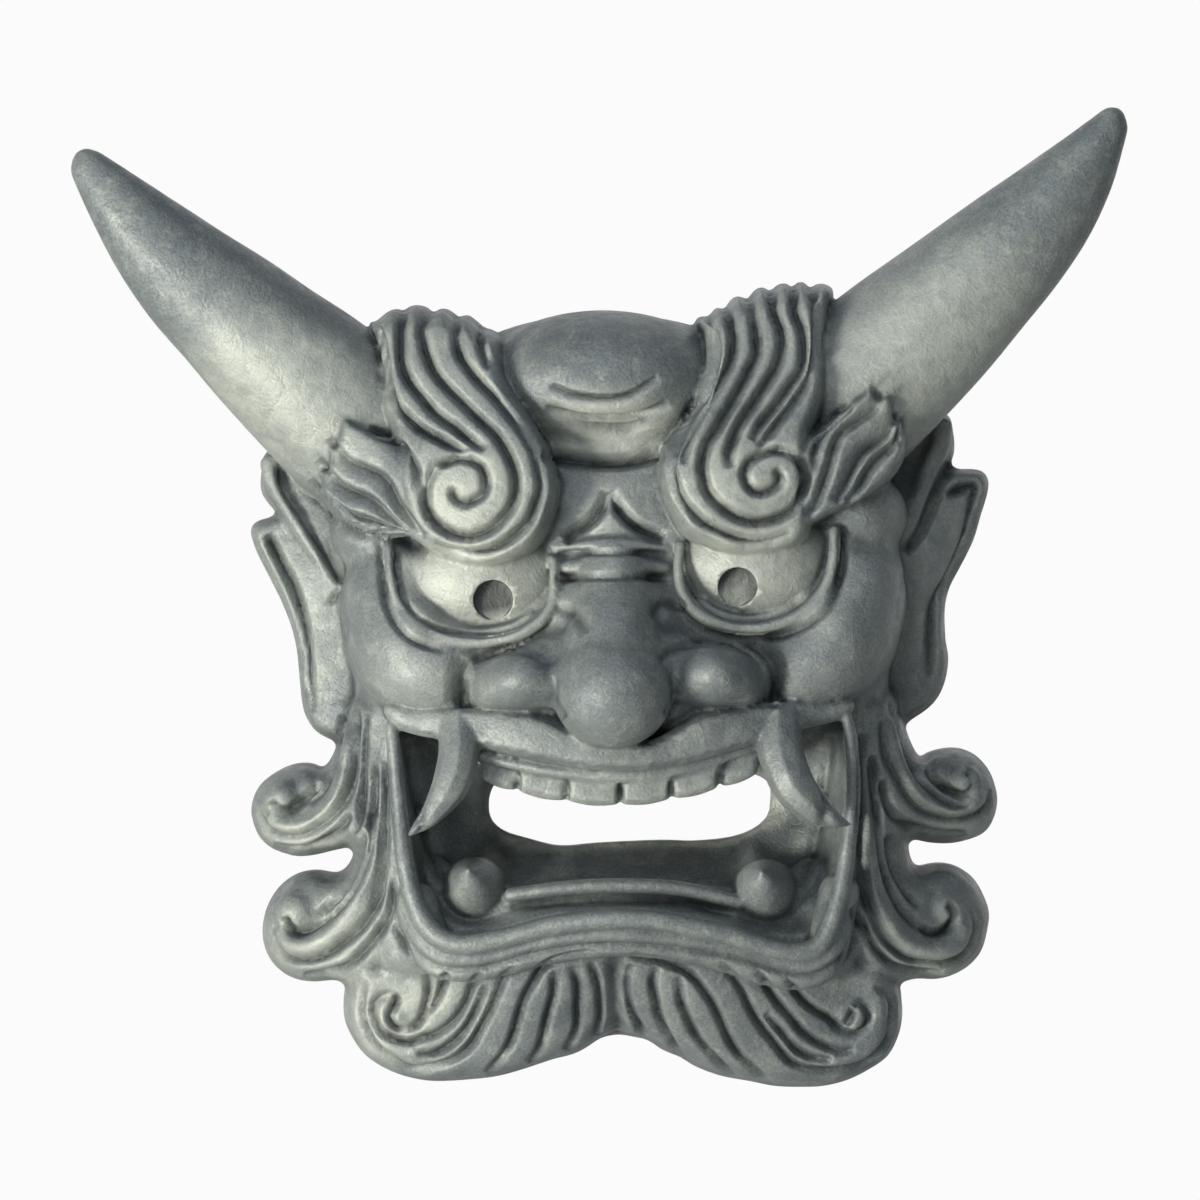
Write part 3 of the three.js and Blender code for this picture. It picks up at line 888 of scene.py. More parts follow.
@dataclass(frozen=True)
class Brow:
    """A flame-like brow that curls into a volute above the eye."""

    sizes: BrowSizes

    LEFT = BrowSizes(
        tuft=((-93.4, 7.4), (-90.4, 8.6), (-86.4, 12), (-82.4, 13.8), (-79.4, 13), (-75.6, 15.2),
              (-70.4, 14.6), (-67.2, 12.4), (-63.6, 14), (-59.6, 12.6), (-57, 10.4), (-53.6, 11.4),
              (-50, 9), (-46.8, 6.4), (-43, 5), (-39, 2), (-37, -4), (-36, -12), (-32, -20), (-27, -27),
              (-23, -34), (-19, -41), (-16, -48), (-14, -56), (-13.6, -62), (-15, -70), (-18, -78),
              (-23, -85), (-30, -90), (-38, -93), (-46, -94.4), (-54, -93.6), (-61, -91.6), (-66, -89),
              (-73, -84), (-79, -76), (-83, -64), (-84, -52), (-85, -40), (-89, -27), (-90, -14),
              (-91, -4)),
        crest=((-72, 14, 72), (-50, 8, 72), (-86, -8, 86), (-66, -8, 86), (-46, -8, 86), (-84, -30, 92),
               (-58, -30, 94), (-36, -28, 96), (-76, -56, 98), (-47, -60, 106), (-22, -58, 98),
               (-46, -86, 98), (-72, -80, 88)),
        wisps=((-103, -29), (-95.4, -32.6), (-87, -36), (-76, -38), (-62, -46), (-56, -62), (-46, -80),
               (-44, -93), (-52, -94), (-58.4, -92.8), (-64.8, -89.6), (-71.2, -85), (-76, -81.8),
               (-86, -80.6), (-96, -78.6), (-104, -73), (-110.6, -66), (-115.6, -58.6), (-112.4, -58),
               (-114, -51), (-110, -49.4), (-111.4, -39.4), (-107, -40)),
        leaves=(
            ((-92, -34.6), (-86, -37.4), (-80, -41), (-75, -46), (-71.4, -53), (-70, -61)),
            ((-107, -38.6), (-103.4, -44), (-99.2, -48.4), (-92.8, -51), (-87.2, -53.6), (-83.2, -57.6),
             (-80, -64), (-76, -70.4), (-71.4, -76.6), (-68.4, -78.4)),
            ((-111.6, -47), (-108, -52), (-104, -56.8), (-98.8, -60), (-92.8, -62.4), (-88, -65.6),
             (-82.4, -71.2), (-77.6, -75.2), (-72.8, -79)),
            ((-115.4, -55), (-111.2, -60.8), (-105.6, -65.6), (-98.4, -69.6), (-92, -71.2), (-86.4, -73.6),
             (-80.8, -76.8), (-74.4, -80.8), (-68, -84.8)),
            ((-104, -71.6), (-96, -75.2), (-88.8, -76), (-82, -78.2)),
        ),
        wisp_crest=((-103, -30, 84), (-109, -44, 81), (-98, -44, 88), (-88, -50, 93), (-78, -62, 96),
                    (-66, -80, 90), (-114, -56, 73), (-104, -62, 81), (-92, -68, 88), (-88, -79, 86),
                    (-78, -42, 88), (-56, -84, 85)),
        strands=(
            ((-89.6, 7), (-88, -1), (-86.4, -9), (-85, -17.6), (-81.6, -25), (-77.6, -30), (-71, -36),
             (-64, -40), (-58, -43), (-52, -45.6)),
            ((-79, 13), (-79, -2), (-78.4, -10), (-75.6, -17), (-71, -23), (-65, -30), (-58, -35),
             (-52, -40), (-45, -44.4)),
            ((-67, 13), (-70.4, 5.6), (-70, -1), (-68, -8), (-65, -14), (-60, -20), (-54, -26), (-48, -32),
             (-41.6, -38), (-37, -45), (-34, -52), (-33, -58), (-34, -65), (-37.6, -71), (-43, -76),
             (-51, -79), (-59, -77.6), (-65, -73.6), (-68.4, -68), (-69, -61.6), (-68, -57), (-65, -52),
             (-63, -50.4)),
            ((-57, 11), (-57, 2.4), (-56.4, -4), (-53.6, -10), (-48, -17), (-42, -23), (-36, -30),
             (-30, -37.6), (-26, -45), (-24, -52), (-23, -59), (-25, -66), (-28, -73), (-33, -78),
             (-39, -82.4), (-46, -85), (-57.6, -85), (-66, -82)),
            ((-47.6, 8), (-47.4, 1), (-46, -6), (-43, -12)),
        ),
        eye=((-65, -52), (-63, -50.4), (-56, -48), (-50, -49), (-46.4, -52), (-45, -57), (-45, -60),
             (-47, -63), (-52, -65.6), (-56, -65), (-58, -62), (-57, -59)))
    RIGHT = BrowSizes(
        tuft=((38, 8), (41.4, 11), (43.6, 10.6), (47, 14.2), (50.2, 13.6), (53, 17.6), (57, 19.2),
              (59.2, 17.4), (62.4, 21.2), (66, 22.6), (68.4, 20.8), (72, 23.6), (75.2, 24), (77.4, 22.6),
              (80.5, 24.8), (83, 24), (84.8, 22.2), (88, 23.8), (92, 23.4), (94.4, 20), (93, 11), (92, 1),
              (92, -12), (92, -22), (90, -30), (87, -38), (86, -48), (86, -58), (87, -68), (86, -79.5),
              (80.5, -85), (71, -88.6), (60, -90), (49, -88.6), (41, -85), (34, -82), (30, -79), (26, -72),
              (22.6, -65), (21, -57), (20.6, -51), (22.6, -44), (26, -39), (30, -33), (34, -27), (37, -18),
              (40, -8), (40, 1)),
        crest=((52, 15, 72), (82, 22, 74), (46, -8, 86), (66, -6, 86), (88, -8, 88), (40, -28, 96),
               (62, -28, 94), (86, -32, 94), (28, -54, 98), (56, -56, 106), (82, -60, 98), (54, -82, 98),
               (80, -80, 88)),
        wisps=((106, -10), (108.4, -13.4), (111.6, -20.6), (115.8, -19.4), (118.2, -23), (119.4, -30.6),
               (121.4, -28.6), (123, -35), (122.4, -46), (119, -53), (112, -60.6), (104, -67),
               (94.4, -70.6), (85, -75.4), (76, -79), (66, -88), (56, -88), (60, -70), (70, -50), (84, -36),
               (94, -27), (101, -22), (105, -17)),
        leaves=(
            ((83, -56), (84, -50), (85, -43), (88.6, -35.6), (94, -29.6), (100, -25.6)),
            ((112, -21), (111, -26), (108.4, -30), (102.6, -34), (96.6, -38.4), (94, -44), (92, -51),
             (90, -58), (87, -65), (83, -72)),
            ((118.6, -29), (118.2, -33), (116.6, -37), (113.6, -41), (107, -45.6), (103, -51), (99, -58.6),
             (94, -66)),
            ((121.6, -30), (121, -36.4), (118.6, -42), (112.4, -48), (107.6, -54), (104, -60), (98, -66)),
        ),
        wisp_crest=((107, -13, 82.4), (113, -26, 84), (101, -30, 89), (94, -40, 93), (88, -52, 96),
                    (80, -72, 93), (120, -30, 80), (119, -44, 80), (112, -54, 82), (104, -62, 86),
                    (96, -68, 88), (86, -38, 88), (66, -84, 85)),
        strands=(
            ((43, 10), (45.4, 0), (45.4, -8), (44, -15), (41, -22), (37, -28), (33, -35), (30, -42),
             (28.4, -50), (29, -56), (32, -64), (37, -70), (43, -75), (52, -79), (60, -81), (68, -80.6),
             (76, -78)),
            ((49.5, 14), (52, 6), (53, 0), (52, -8), (49, -14), (45, -21), (40, -28), (36, -36),
             (33.4, -43), (32.6, -51)),
            ((58.6, 18), (61, 9), (62, 1.5), (62, -6), (59, -13), (55, -21), (51, -28), (47, -35),
             (42.5, -42), (40.4, -50), (41, -56), (43, -62), (49, -68), (56, -72), (64, -73), (72, -71),
             (78, -67), (81, -61), (82, -55), (80, -50), (75.5, -46), (69, -44.6)),
            ((68, 22), (69, 12), (72, 3), (72, -3.5), (70, -11), (66, -18), (61, -26), (56, -33),
             (52.4, -41), (51, -46), (51.6, -52)),
            ((77, 24), (77.6, 11), (80, 4), (81, -3.5), (80, -12), (75.5, -19), (70, -27), (64, -34),
             (60, -41)),
            ((84, 22), (86.4, 10), (86.5, -4), (84, -13), (79, -22), (73, -30), (67, -38), (63, -44)),
        ),
        eye=((75.5, -46), (69, -44.6), (62, -47), (58, -51), (57.4, -56), (60, -60.4), (65, -61.4),
             (70, -59), (71, -55), (68.6, -52)))

    def add_to(self, clay: Clay) -> None:
        """Adds the tuft and the wisps, the nearest to the volute standing furthest forward.

        Args:
            clay: Clay that takes them.
        """
        crest = pins(*self.sizes.crest)
        clay.pad(Pad(self.sizes.tuft, foot=22, crest=crest, edge=9, wall=0.35))
        clay.pad(Pad(self.sizes.wisps, foot=20, crest=pins(*self.sizes.wisp_crest, reach=11), edge=5,
                     wall=0.6))

    def strokes(self) -> list[Stroke]:
        """Grooves between the strands, and the spiral of the volute.

        Returns:
            The strokes, in order.
        """
        strands = [Stroke(s, 5.4, 3.1, fade=(0.12, 0.14)) for s in self.sizes.strands]
        leaves = [Stroke(s, 4.8, 2.8, Edge.STEP, fade=(0.4, 0.25)) for s in self.sizes.leaves]
        return [*strands, *leaves, Stroke(self.sizes.eye, 4.6, 2.8, fade=(0.1, 0.1))]


@dataclass(frozen=True)
class EarSizes:
    """One ear: outline, and the routes of its fold, its inner groove and the groove inside its rim."""

    outline: Route
    crest: tuple[Spot, ...]
    fold: Route
    groove: Route
    rim: Route
    tragus: Route


@dataclass(frozen=True)
class Ear:
    """A flat pointed ear that lies back beside the cheek."""

    sizes: EarSizes

    LEFT = EarSizes(
        outline=((-135, -43), (-138, -52), (-138, -60), (-134, -66), (-131, -69), (-140, -72),
                 (-142.4, -76), (-140, -84), (-135, -94), (-130, -104), (-126, -114), (-123.6, -124),
                 (-122.4, -136), (-121.4, -146), (-119.6, -152), (-115, -158), (-106, -160.4), (-92, -150),
                 (-84, -120), (-86, -80), (-98, -48), (-116, -40)),
        crest=((-130, -60, 30), (-134, -80, 30), (-124, -110, 32), (-116, -146, 26), (-100, -90, 44),
               (-98, -140, 40)),
        fold=((-134, -48), (-132, -56), (-126, -66), (-119, -77), (-111, -89), (-103, -101)),
        groove=((-129.6, -49), (-127, -59), (-120, -70), (-112.8, -82), (-104, -99)),
        rim=((-135, -77), (-130, -88), (-124, -100), (-120, -116), (-118.4, -134), (-117, -150)),
        tragus=((-110, -106), (-104, -100), (-102, -118), (-104, -122)))
    RIGHT = EarSizes(
        outline=((141, -28), (144, -36), (144.4, -44), (143, -50), (154, -50.8), (158, -54), (158, -60),
                 (155, -70), (152, -80), (146, -92), (142, -100), (140.4, -108), (140.8, -120), (142, -128),
                 (140.4, -138), (136, -146), (128, -152), (122, -154), (108, -146), (102, -120), (104, -80),
                 (112, -44), (126, -26)),
        crest=((140, -42, 30), (150, -62, 30), (140, -96, 32), (134, -140, 26), (118, -80, 44),
               (114, -134, 40)),
        fold=((139, -33), (138, -41), (134, -50), (130, -62), (124, -78)),
        groove=((142.8, -48), (136, -62), (130, -76), (123.6, -85)),
        rim=((140, -60.8), (150, -58), (151.6, -61.6), (148.6, -77), (142, -94), (136, -104), (134, -116),
             (134, -136)),
        tragus=((122, -92), (121, -100), (120, -108), (119, -114)))

    def add_to(self, clay: Clay) -> None:
        """Adds the ear's plate and its folded upper edge.

        Args:
            clay: Clay that takes them.
        """
        clay.pad(Pad(self.sizes.outline, foot=6, crest=pins(*self.sizes.crest), edge=5, wall=0.6))
        fold = [(x, z, 30 + 8 * i / len(self.sizes.fold), 4.2) for i, (x, z) in enumerate(self.sizes.fold)]
        clay.coil(fold, flat=1.0)

    def strokes(self) -> list[Stroke]:
        """The hollow of the ear, the groove inside its rim and the tragus.

        Returns:
            The strokes, in order.
        """
        s = self.sizes
        return [
            Stroke(s.groove, 4.6, 3.4, fade=(0.1, 0.1)),
            Stroke(s.rim, 5.6, 3.4, fade=(0.06, 0.3)),
            Stroke(s.tragus, 2.0, 2.4),
        ]


@dataclass(frozen=True)
class SideHairSizes:
    """The hair down one side of the mouth, with its two curls."""

    outline: Route
    crest: tuple[Spot, ...]
    curls: tuple[Spot, ...]
    locks: tuple[Route, ...]
    strands: tuple[Route, ...]
    eyes: tuple[Route, ...]


@dataclass(frozen=True)
class SideHair:
    """Strands that fall beside the mouth and roll outwards into two curls."""

    sizes: SideHairSizes

    LEFT = SideHairSizes(
        outline=((-100, -142), (-104, -154), (-107, -162), (-110, -169), (-113.5, -172.6), (-117, -171),
                 (-122, -170.6), (-128, -172), (-135, -176), (-140, -181), (-142.5, -188), (-142, -194),
                 (-139, -201), (-133, -206), (-124, -208.7), (-116, -208), (-108, -206), (-101.5, -205),
                 (-100.8, -208.5), (-104, -213.5), (-108, -215.6), (-116, -214.4), (-124, -216),
                 (-131, -221), (-136, -229), (-138, -238), (-137, -246), (-133, -253), (-126, -258),
                 (-117, -259.7), (-108, -259), (-100, -261), (-88, -258), (-80, -244), (-82, -220),
                 (-84, -190), (-82, -160), (-80, -142)),
        crest=((-84, -160, 72), (-86, -200, 70), (-84, -240, 68), (-100, -160, 56), (-104, -184, 52),
               (-120, -176, 34), (-134, -180, 33), (-122, -198, 46), (-140, -192, 32), (-96, -222, 60),
               (-116, -220, 34), (-130, -226, 33), (-116, -247, 48), (-136, -240, 32), (-100, -252, 52)),
        curls=((-128.6, -184.6, 8.4), (-122.4, -231, 9.6)),
        locks=(
            ((-101, -146), (-101.8, -168), (-105, -182), (-111, -191), (-120, -195.6), (-128, -195.4),
             (-135, -191)),
            ((-92, -190), (-94, -212), (-99, -226), (-107, -237), (-117, -243), (-126, -242.6),
             (-131, -237)),
        ),
        strands=(
            ((-98, -146), (-98.5, -171), (-101, -181), (-106, -189), (-113, -195), (-120.5, -199),
             (-128, -199.4), (-134.5, -197), (-138, -192), (-139, -188)),
            ((-101, -189), (-105, -196), (-110, -201), (-117, -205.2), (-124, -206), (-133, -204.6)),
            ((-103.4, -150), (-105.4, -165), (-109, -174), (-113, -181), (-118, -186.4)),
            ((-94.6, -149), (-95.4, -170), (-96, -188), (-98.4, -198)),
            ((-91, -170), (-91.6, -189), (-92.4, -205), (-96, -216), (-102, -225), (-109, -232),
             (-116, -236)),
            ((-86, -168), (-86.6, -198), (-87.4, -215), (-90, -226), (-96, -235), (-104, -242),
             (-111, -247), (-119, -249), (-127, -248), (-131.5, -243), (-133, -236)),
            ((-83.6, -215), (-84, -228), (-90, -239), (-97, -247), (-103, -252), (-111, -255.6),
             (-120, -255.6)),
            ((-94, -196), (-95, -204), (-98.5, -213), (-104, -221), (-111, -229), (-115, -234)),
        ),
        eyes=(
            ((-113, -177.6), (-120, -184.6), (-125, -188.8), (-130, -188.8), (-134, -185.4)),
            ((-108, -230), (-116, -236.4), (-121, -238.6), (-125.4, -236.6), (-128, -232)),
        ))
    RIGHT = SideHairSizes(
        outline=((119, -140), (123, -150), (126, -160), (130.5, -168), (135, -166), (141, -164.6),
                 (147, -164.6), (153, -167), (158, -172), (161, -178), (162.5, -185.5), (161, -193),
                 (157, -199), (150, -202), (142.5, -203.4), (134, -203), (126.6, -201.6), (126, -205.6),
                 (127.5, -211), (130, -213), (134, -212), (140, -211.5), (146, -213), (152, -217),
                 (156, -223), (159, -231), (158.5, -238), (156, -247), (151, -253), (144, -257),
                 (136.5, -258.7), (129, -258.4), (120, -260), (106, -258), (98, -244), (100, -220),
                 (102, -190), (100, -160), (98, -140)),
        crest=((101, -160, 72), (102, -200, 70), (102, -240, 68), (118, -160, 56), (124, -182, 52),
               (138, -170, 34), (154, -174, 33), (142, -194, 46), (160, -186, 32), (114, -222, 60),
               (134, -217, 34), (150, -222, 33), (136, -246, 48), (157, -238, 32), (120, -251, 52)),
        curls=((147, -178.6, 8.4), (138.6, -230.4, 9.6)),
        locks=(
            ((117, -150), (118.5, -165), (122, -175), (128, -183), (135, -188), (143, -190), (151, -188),
             (156, -183)),
            ((107, -190), (108, -212), (112, -226), (119, -238), (127, -244), (137, -246), (146, -243),
             (150, -236)),
        ),
        strands=(
            ((117.5, -143), (120, -153), (122, -162), (126, -171), (131, -178), (137, -183.6), (143, -187),
             (149.6, -187)),
            ((113.4, -152), (115, -166), (119, -174), (124, -183), (130.5, -189), (138, -191.5),
             (146, -192), (153.5, -190), (158, -186), (159, -181)),
            ((113, -176), (115, -184), (119, -191), (126, -196), (134, -199), (142.5, -199.6),
             (149, -198.6)),
            ((105, -157), (104.5, -187), (104.5, -208.5), (106, -221), (110, -232), (116, -242),
             (124, -248), (132, -250), (141, -250), (148, -247), (152, -240), (153, -235), (150, -229)),
            ((109, -166), (111, -184), (111.5, -198), (113.6, -210), (117, -220), (122, -229), (128, -235),
             (134, -238)),
            ((101, -226), (106, -237), (113, -246), (120, -252), (130, -255), (139, -255)),
            ((116, -198), (118, -210), (123, -220), (129, -228)),
        ),
        eyes=(
            ((132, -172), (136, -177), (141, -181), (146, -183.4), (150, -182), (152, -178), (150.4, -174),
             (147, -173)),
            ((128, -235), (134, -238.4), (139, -237.6), (143, -234), (143.4, -229.6), (140.4, -226.4)),
        ))

    def add_to(self, clay: Clay) -> None:
        """Adds the slab of hair and the domes of the curls.

        Args:
            clay: Clay that takes them.
        """
        clay.pad(Pad(self.sizes.outline, foot=0, crest=pins(*self.sizes.crest, reach=12), edge=11,
                     wall=0.35))
        for x, z, half in self.sizes.curls:
            clay.ball((x, z, 30), (half, half, 13))

    def strokes(self) -> list[Stroke]:
        """Rolls along the locks, grooves between the strands, and the eyes of the curls.

        Returns:
            The strokes, in order.
        """
        return [*(Stroke(s, -3.4, 5.0, Edge.SOFT, fade=(0.2, 0.2)) for s in self.sizes.locks),
                *(Stroke(s, 4.6, 3.0, fade=(0.08, 0.14)) for s in self.sizes.strands),
                *(Stroke(s, 5.4, 2.8, fade=(0.15, 0.08)) for s in self.sizes.eyes)]


@dataclass(frozen=True)
class Beard:
    """The beard under the lip, parted in the middle and rolled into a volute on each side."""

    outline: Route = (
        (-102, -250), (-103.5, -260), (-104.5, -267), (-104, -275), (-101, -282), (-96, -289), (-89, -294),
        (-81, -297.5), (-72, -299.6), (-64, -300), (-54, -299.4), (-42, -298), (-31, -295), (-19, -291),
        (-11, -289), (-5, -286), (0, -282.6), (7, -281), (14, -282), (20, -283.5), (25, -287), (32, -290),
        (40, -294.5), (50, -298), (61, -300), (71, -302), (81.5, -302.4), (91, -302), (101, -299.5),
        (110, -295), (117, -290), (121, -283), (123, -275.5), (123, -268), (121, -258), (112, -246),
        (60, -236), (8, -232), (-50, -236), (-92, -246))
    crest: tuple[Spot, ...] = (
        (-86, -270, 50), (-60, -286, 50), (-60, -262, 62), (-30, -286, 52), (-30, -258, 70), (6, -276, 50),
        (6, -250, 74), (36, -286, 52), (40, -258, 70), (74, -288, 50), (72, -264, 62), (104, -272, 50),
        (-88, -248, 60), (104, -248, 60))
    left: tuple[Route, ...] = (
        ((-83, -262), (-87, -263), (-91, -267), (-91, -272), (-89, -277), (-84, -280), (-77, -281.6),
         (-71, -280), (-65, -278), (-58.5, -273), (-54, -266), (-51, -258), (-47, -251)),
        ((-70, -254), (-69, -261.5), (-71, -270), (-74, -275), (-79, -277.4)),
        ((-61, -252), (-63, -258), (-66, -265), (-70, -270)),
        ((-33, -249), (-38, -254), (-41, -261), (-44, -268.5), (-48, -276), (-52, -283), (-58.5, -289),
         (-65, -292), (-72, -293.6), (-78, -293), (-84, -289), (-89, -285.5), (-93, -280), (-96, -272),
         (-96, -267), (-95, -260), (-93, -257)),
        ((0, -243), (-7, -244.5), (-16, -247), (-23, -251), (-27.5, -258), (-31, -265), (-33, -272),
         (-35, -279), (-38, -285.5), (-42, -291), (-46, -295)),
        ((-18, -252), (-19, -263), (-21, -271), (-23, -279), (-25, -286), (-29, -291)),
        ((-11, -250), (-9, -259), (-9, -267), (-9, -275), (-11, -281), (-14, -286)),
        ((-4, -248), (-1, -258), (0, -265), (0, -273), (-2, -280)),
        ((-46, -258), (-49, -266), (-53, -275), (-59, -282), (-66, -286), (-74, -287)),
    )
    right: tuple[Route, ...] = (
        ((102, -268), (105, -266), (108, -270), (108, -274), (106, -277), (102, -279), (97, -277),
         (92, -272), (87, -269), (82, -265), (78, -260), (74, -254)),
        ((62, -250), (66, -257), (71, -265), (76, -271), (81, -277), (86, -281), (92, -284), (97, -285.6),
         (103, -285)),
        ((47, -246), (52, -253), (57, -260), (60.5, -268), (65, -275.5), (71, -283), (77, -290), (85, -293),
         (93, -294), (102, -293), (108, -291), (113, -286.5), (117, -281), (118, -274), (118, -267),
         (115, -262), (110, -259.4)),
        ((11, -246), (19, -247), (29, -250), (35, -253), (40, -258), (44.5, -265), (48, -272), (52, -281),
         (57, -288), (62, -293), (67, -298)),
        ((31.5, -254), (32, -264), (34.5, -271), (39, -280), (44, -286.5), (50, -293), (56, -298)),
        ((23, -250), (21, -257), (22, -264), (23.5, -271), (27, -280), (31, -286.5), (37, -292)),
        ((12.6, -249), (10.5, -255), (10.5, -262), (12.6, -270), (16, -277), (19, -283)),
        ((66, -270), (72, -277), (78, -284), (85, -288), (94, -289.4)),
    )
    parting: Route = ((6, -246), (6, -260), (6.4, -272), (7, -281))
    eyes: tuple[Route, ...] = (((-77, -277), (-82, -276), (-84.6, -271), (-82, -266), (-83, -262)),
            ((97, -276), (99.6, -273.4), (102, -268)))

    domes: tuple[Spot, ...] = ((-84, -270, 38), (102, -272, 38))
    dome: Spot = (14, 15, 17)

    def add_to(self, clay: Clay) -> None:
        """Adds the beard and the domes of its volutes.

        Args:
            clay: Clay that takes them.
        """
        clay.pad(Pad(self.outline, foot=0, crest=pins(*self.crest, reach=13), edge=12, wall=0.4))
        for centre in self.domes:
            clay.ball(centre, self.dome)

    def strokes(self) -> list[Stroke]:
        """Grooves between the strands, the parting and the volutes' eyes.

        Returns:
            The strokes, in order.
        """
        return [*(Stroke(s, 4.4, 2.6, fade=(0.25, 0.2)) for s in (*self.left, *self.right)),
                Stroke(self.parting, 5, 4.4, Edge.SOFT, fade=(0.2, 0.05)),
                *(Stroke(s, 4.4, 2.6, fade=(0.2, 0.2)) for s in self.eyes)]


@dataclass(frozen=True)
class Mouth:
    """The open mouth: lips, teeth, tusks, the lower gum and the way through to the back."""

    BRIM = 84  # depth at which the bowl begins, in millimetres
    CLEAR = -0.16  # plane in front of the whole face, in metres, to which the bowl's tool reaches

    floor: tuple[Spot, ...] = (
        (-62, -170, 40), (-60, -190, 36), (-64, -206, 40), (-52, -222, 56), (-28, -186, 30),
        (-28, -204, 34), (-26, -214, 50), (-26, -222, 62), (8, -186, 30), (8, -204, 34), (8, -213, 50),
        (8, -222, 62), (40, -186, 30), (42, -204, 34), (42, -214, 50), (42, -222, 62), (68, -222, 56),
        (80, -206, 40), (76, -190, 36), (80, -170, 40))
    lip: Route = (
        (-83, -154, 80, 2.6), (-81.6, -168, 80, 3), (-80, -186, 78, 3.4), (-78, -206, 76, 3.8),
        (-74, -224, 76, 4), (-67, -236, 77, 4.2), (-56, -241, 79, 4.2), (-40, -239, 81, 4),
        (-20, -233.6, 84, 4), (4, -230.6, 86, 4), (24, -231.6, 85, 4), (48, -236.4, 82, 4),
        (68, -242.6, 79, 4.2), (82, -244, 77, 4.2), (90, -238, 76, 4), (96, -220, 76, 3.8),
        (99, -200, 77, 3.4), (101, -180, 79, 3), (100, -160, 80, 2.6), (98, -150, 80, 2.2))
    bowl: Route = (
        (-82, -150), (-80, -168), (-78, -186), (-76, -206), (-72, -222), (-65, -233), (-55, -238),
        (-40, -236), (-20, -231), (4, -228), (24, -229), (48, -234), (68, -240), (81, -241), (88, -236),
        (94, -220), (97, -200), (99, -180), (98, -160), (96, -146), (60, -150), (8, -164), (-46, -152))
    way: Route = (
        (-45, -190), (-40, -197), (-28, -201), (-16, -203.6), (0, -202.4), (24, -201.4), (40, -201.6),
        (56, -199.4), (66, -194), (69, -187), (66, -176), (40, -170), (10, -168), (-24, -170), (-42, -178))
    upper_lip: Route = (
        (-86, -146), (-72, -146), (-60, -147), (-50, -147), (-38, -147), (-24, -149), (-10, -155),
        (4, -159), (20, -159), (32, -153), (42, -148), (64, -145), (80, -144), (100, -144), (98, -150.8),
        (82, -155), (64, -160.4), (40, -167), (24, -170.2), (4, -171.4), (-16, -169), (-40, -164.2),
        (-60, -160.2), (-80, -155.4))
    teeth: tuple[tuple[float, float], ...] = ((-47, -32.6), (-32.6, -13.2), (-13.2, 8), (8, 28.2),
                                              (28.2, 47.4), (47.4, 63))

    def sink(self, tool: Clay) -> None:
        """Adds the sunken mouth to a cutting tool: a bowl from the lips back to the floor.

        Args:
            tool: The tool.
        """
        floor = pins(*self.floor, reach=7)
        edge = smooth_route(self.bowl, OUTLINE_STEP, closed=True)

        def form(points: np.ndarray) -> np.ndarray:
            """Depth of the bowl, falling steeply behind the lips."""
            rise = shoulder(nearest(points, edge)[0], 22)
            return self.BRIM - (self.BRIM - floor(points)) * (0.25 + 0.75 * rise)

        sheet, _ = tool.sheet(edge, form)
        tool.thicken(sheet, self.CLEAR)

    def pierce(self, tool: Clay) -> None:
        """Adds the way through to a cutting tool.

        Args:
            tool: The tool.
        """
        tool.pad(Pad(self.way, foot=-12, crest=pins((0, -190, 66)), edge=1, wall=0.98))

    def add_to(self, clay: Clay) -> None:
        """Adds everything that stands in or round the mouth.

        Args:
            clay: Clay that takes them.
        """
        clay.coil(self.lip, flat=1.25)
        clay.coil([(x, z - 7 if z < -228 else z, d - 9, h + 4.5) for x, z, d, h in self.lip[4:16]],
                  flat=1.2)
        # The upper lip runs out under the cheeks and broadens under each nostril.
        clay.pad(Pad(self.upper_lip, foot=56, crest=pins(
            (8, -166, 107), (-24, -159, 104), (-44, -157, 98), (-62, -157.5, 91), (-80, -153, 83),
            (40, -159, 104), (60, -154.5, 99), (78, -152, 90),
            (97, -150, 82), reach=12), edge=4.5, wall=0.88))
        clay.coil(((-49, -165.4, 86, 2.2), (-32, -169.4, 92, 2.3), (-8, -173, 96, 2.4),
                   (16, -173.4, 96, 2.4), (40, -169, 92, 2.3), (63, -161.6, 86, 2.2)), flat=1.3)
        clay.coil(((-56, -158, 60, 9), (-30, -162, 66, 12), (8, -165, 70, 12), (44, -162, 66, 12),
                   (70, -156, 60, 9)), flat=1.4)
        for left, right in self.teeth:
            mid = (left + right) / 2
            clay.pad(Pad(
                ((left + 0.1, self.low(left) + 17), (left + 0.1, self.low(left) + 2.4),
                 (left + 1.4, self.low(left + 1.4) + 0.5), (mid, self.low(mid) - 0.4),
                 (right - 1.4, self.low(right - 1.4) + 0.5), (right - 0.1, self.low(right) + 2.4),
                 (right - 0.1, self.low(right) + 17)),
                foot=66, crest=pins(*((x, self.low(x), self.front(x)) for x in (left, mid, right))),
                         edge=2.8,
                wall=0.9))
        # Tusks, each a curved blade with a keel along its front.
        clay.coil(((-56, -154, 84, 8.6), (-56, -165, 92, 8.2), (-59, -177, 97, 7.6), (-66, -188, 97, 4.8),
                   (-71.4, -193.4, 96, 2.8), (-75.6, -197, 94, 0.8)), flat=1.25, sides=8, step=2)
        clay.coil(((70.5, -153, 84, 9.6), (71.4, -164, 92, 9.2), (76, -176.4, 97, 8.8), (83, -185, 98, 7.2),
                   (91, -190.2, 97, 4.2), (98.6, -192.8, 94, 0.8)), flat=1.25, sides=8, step=2)
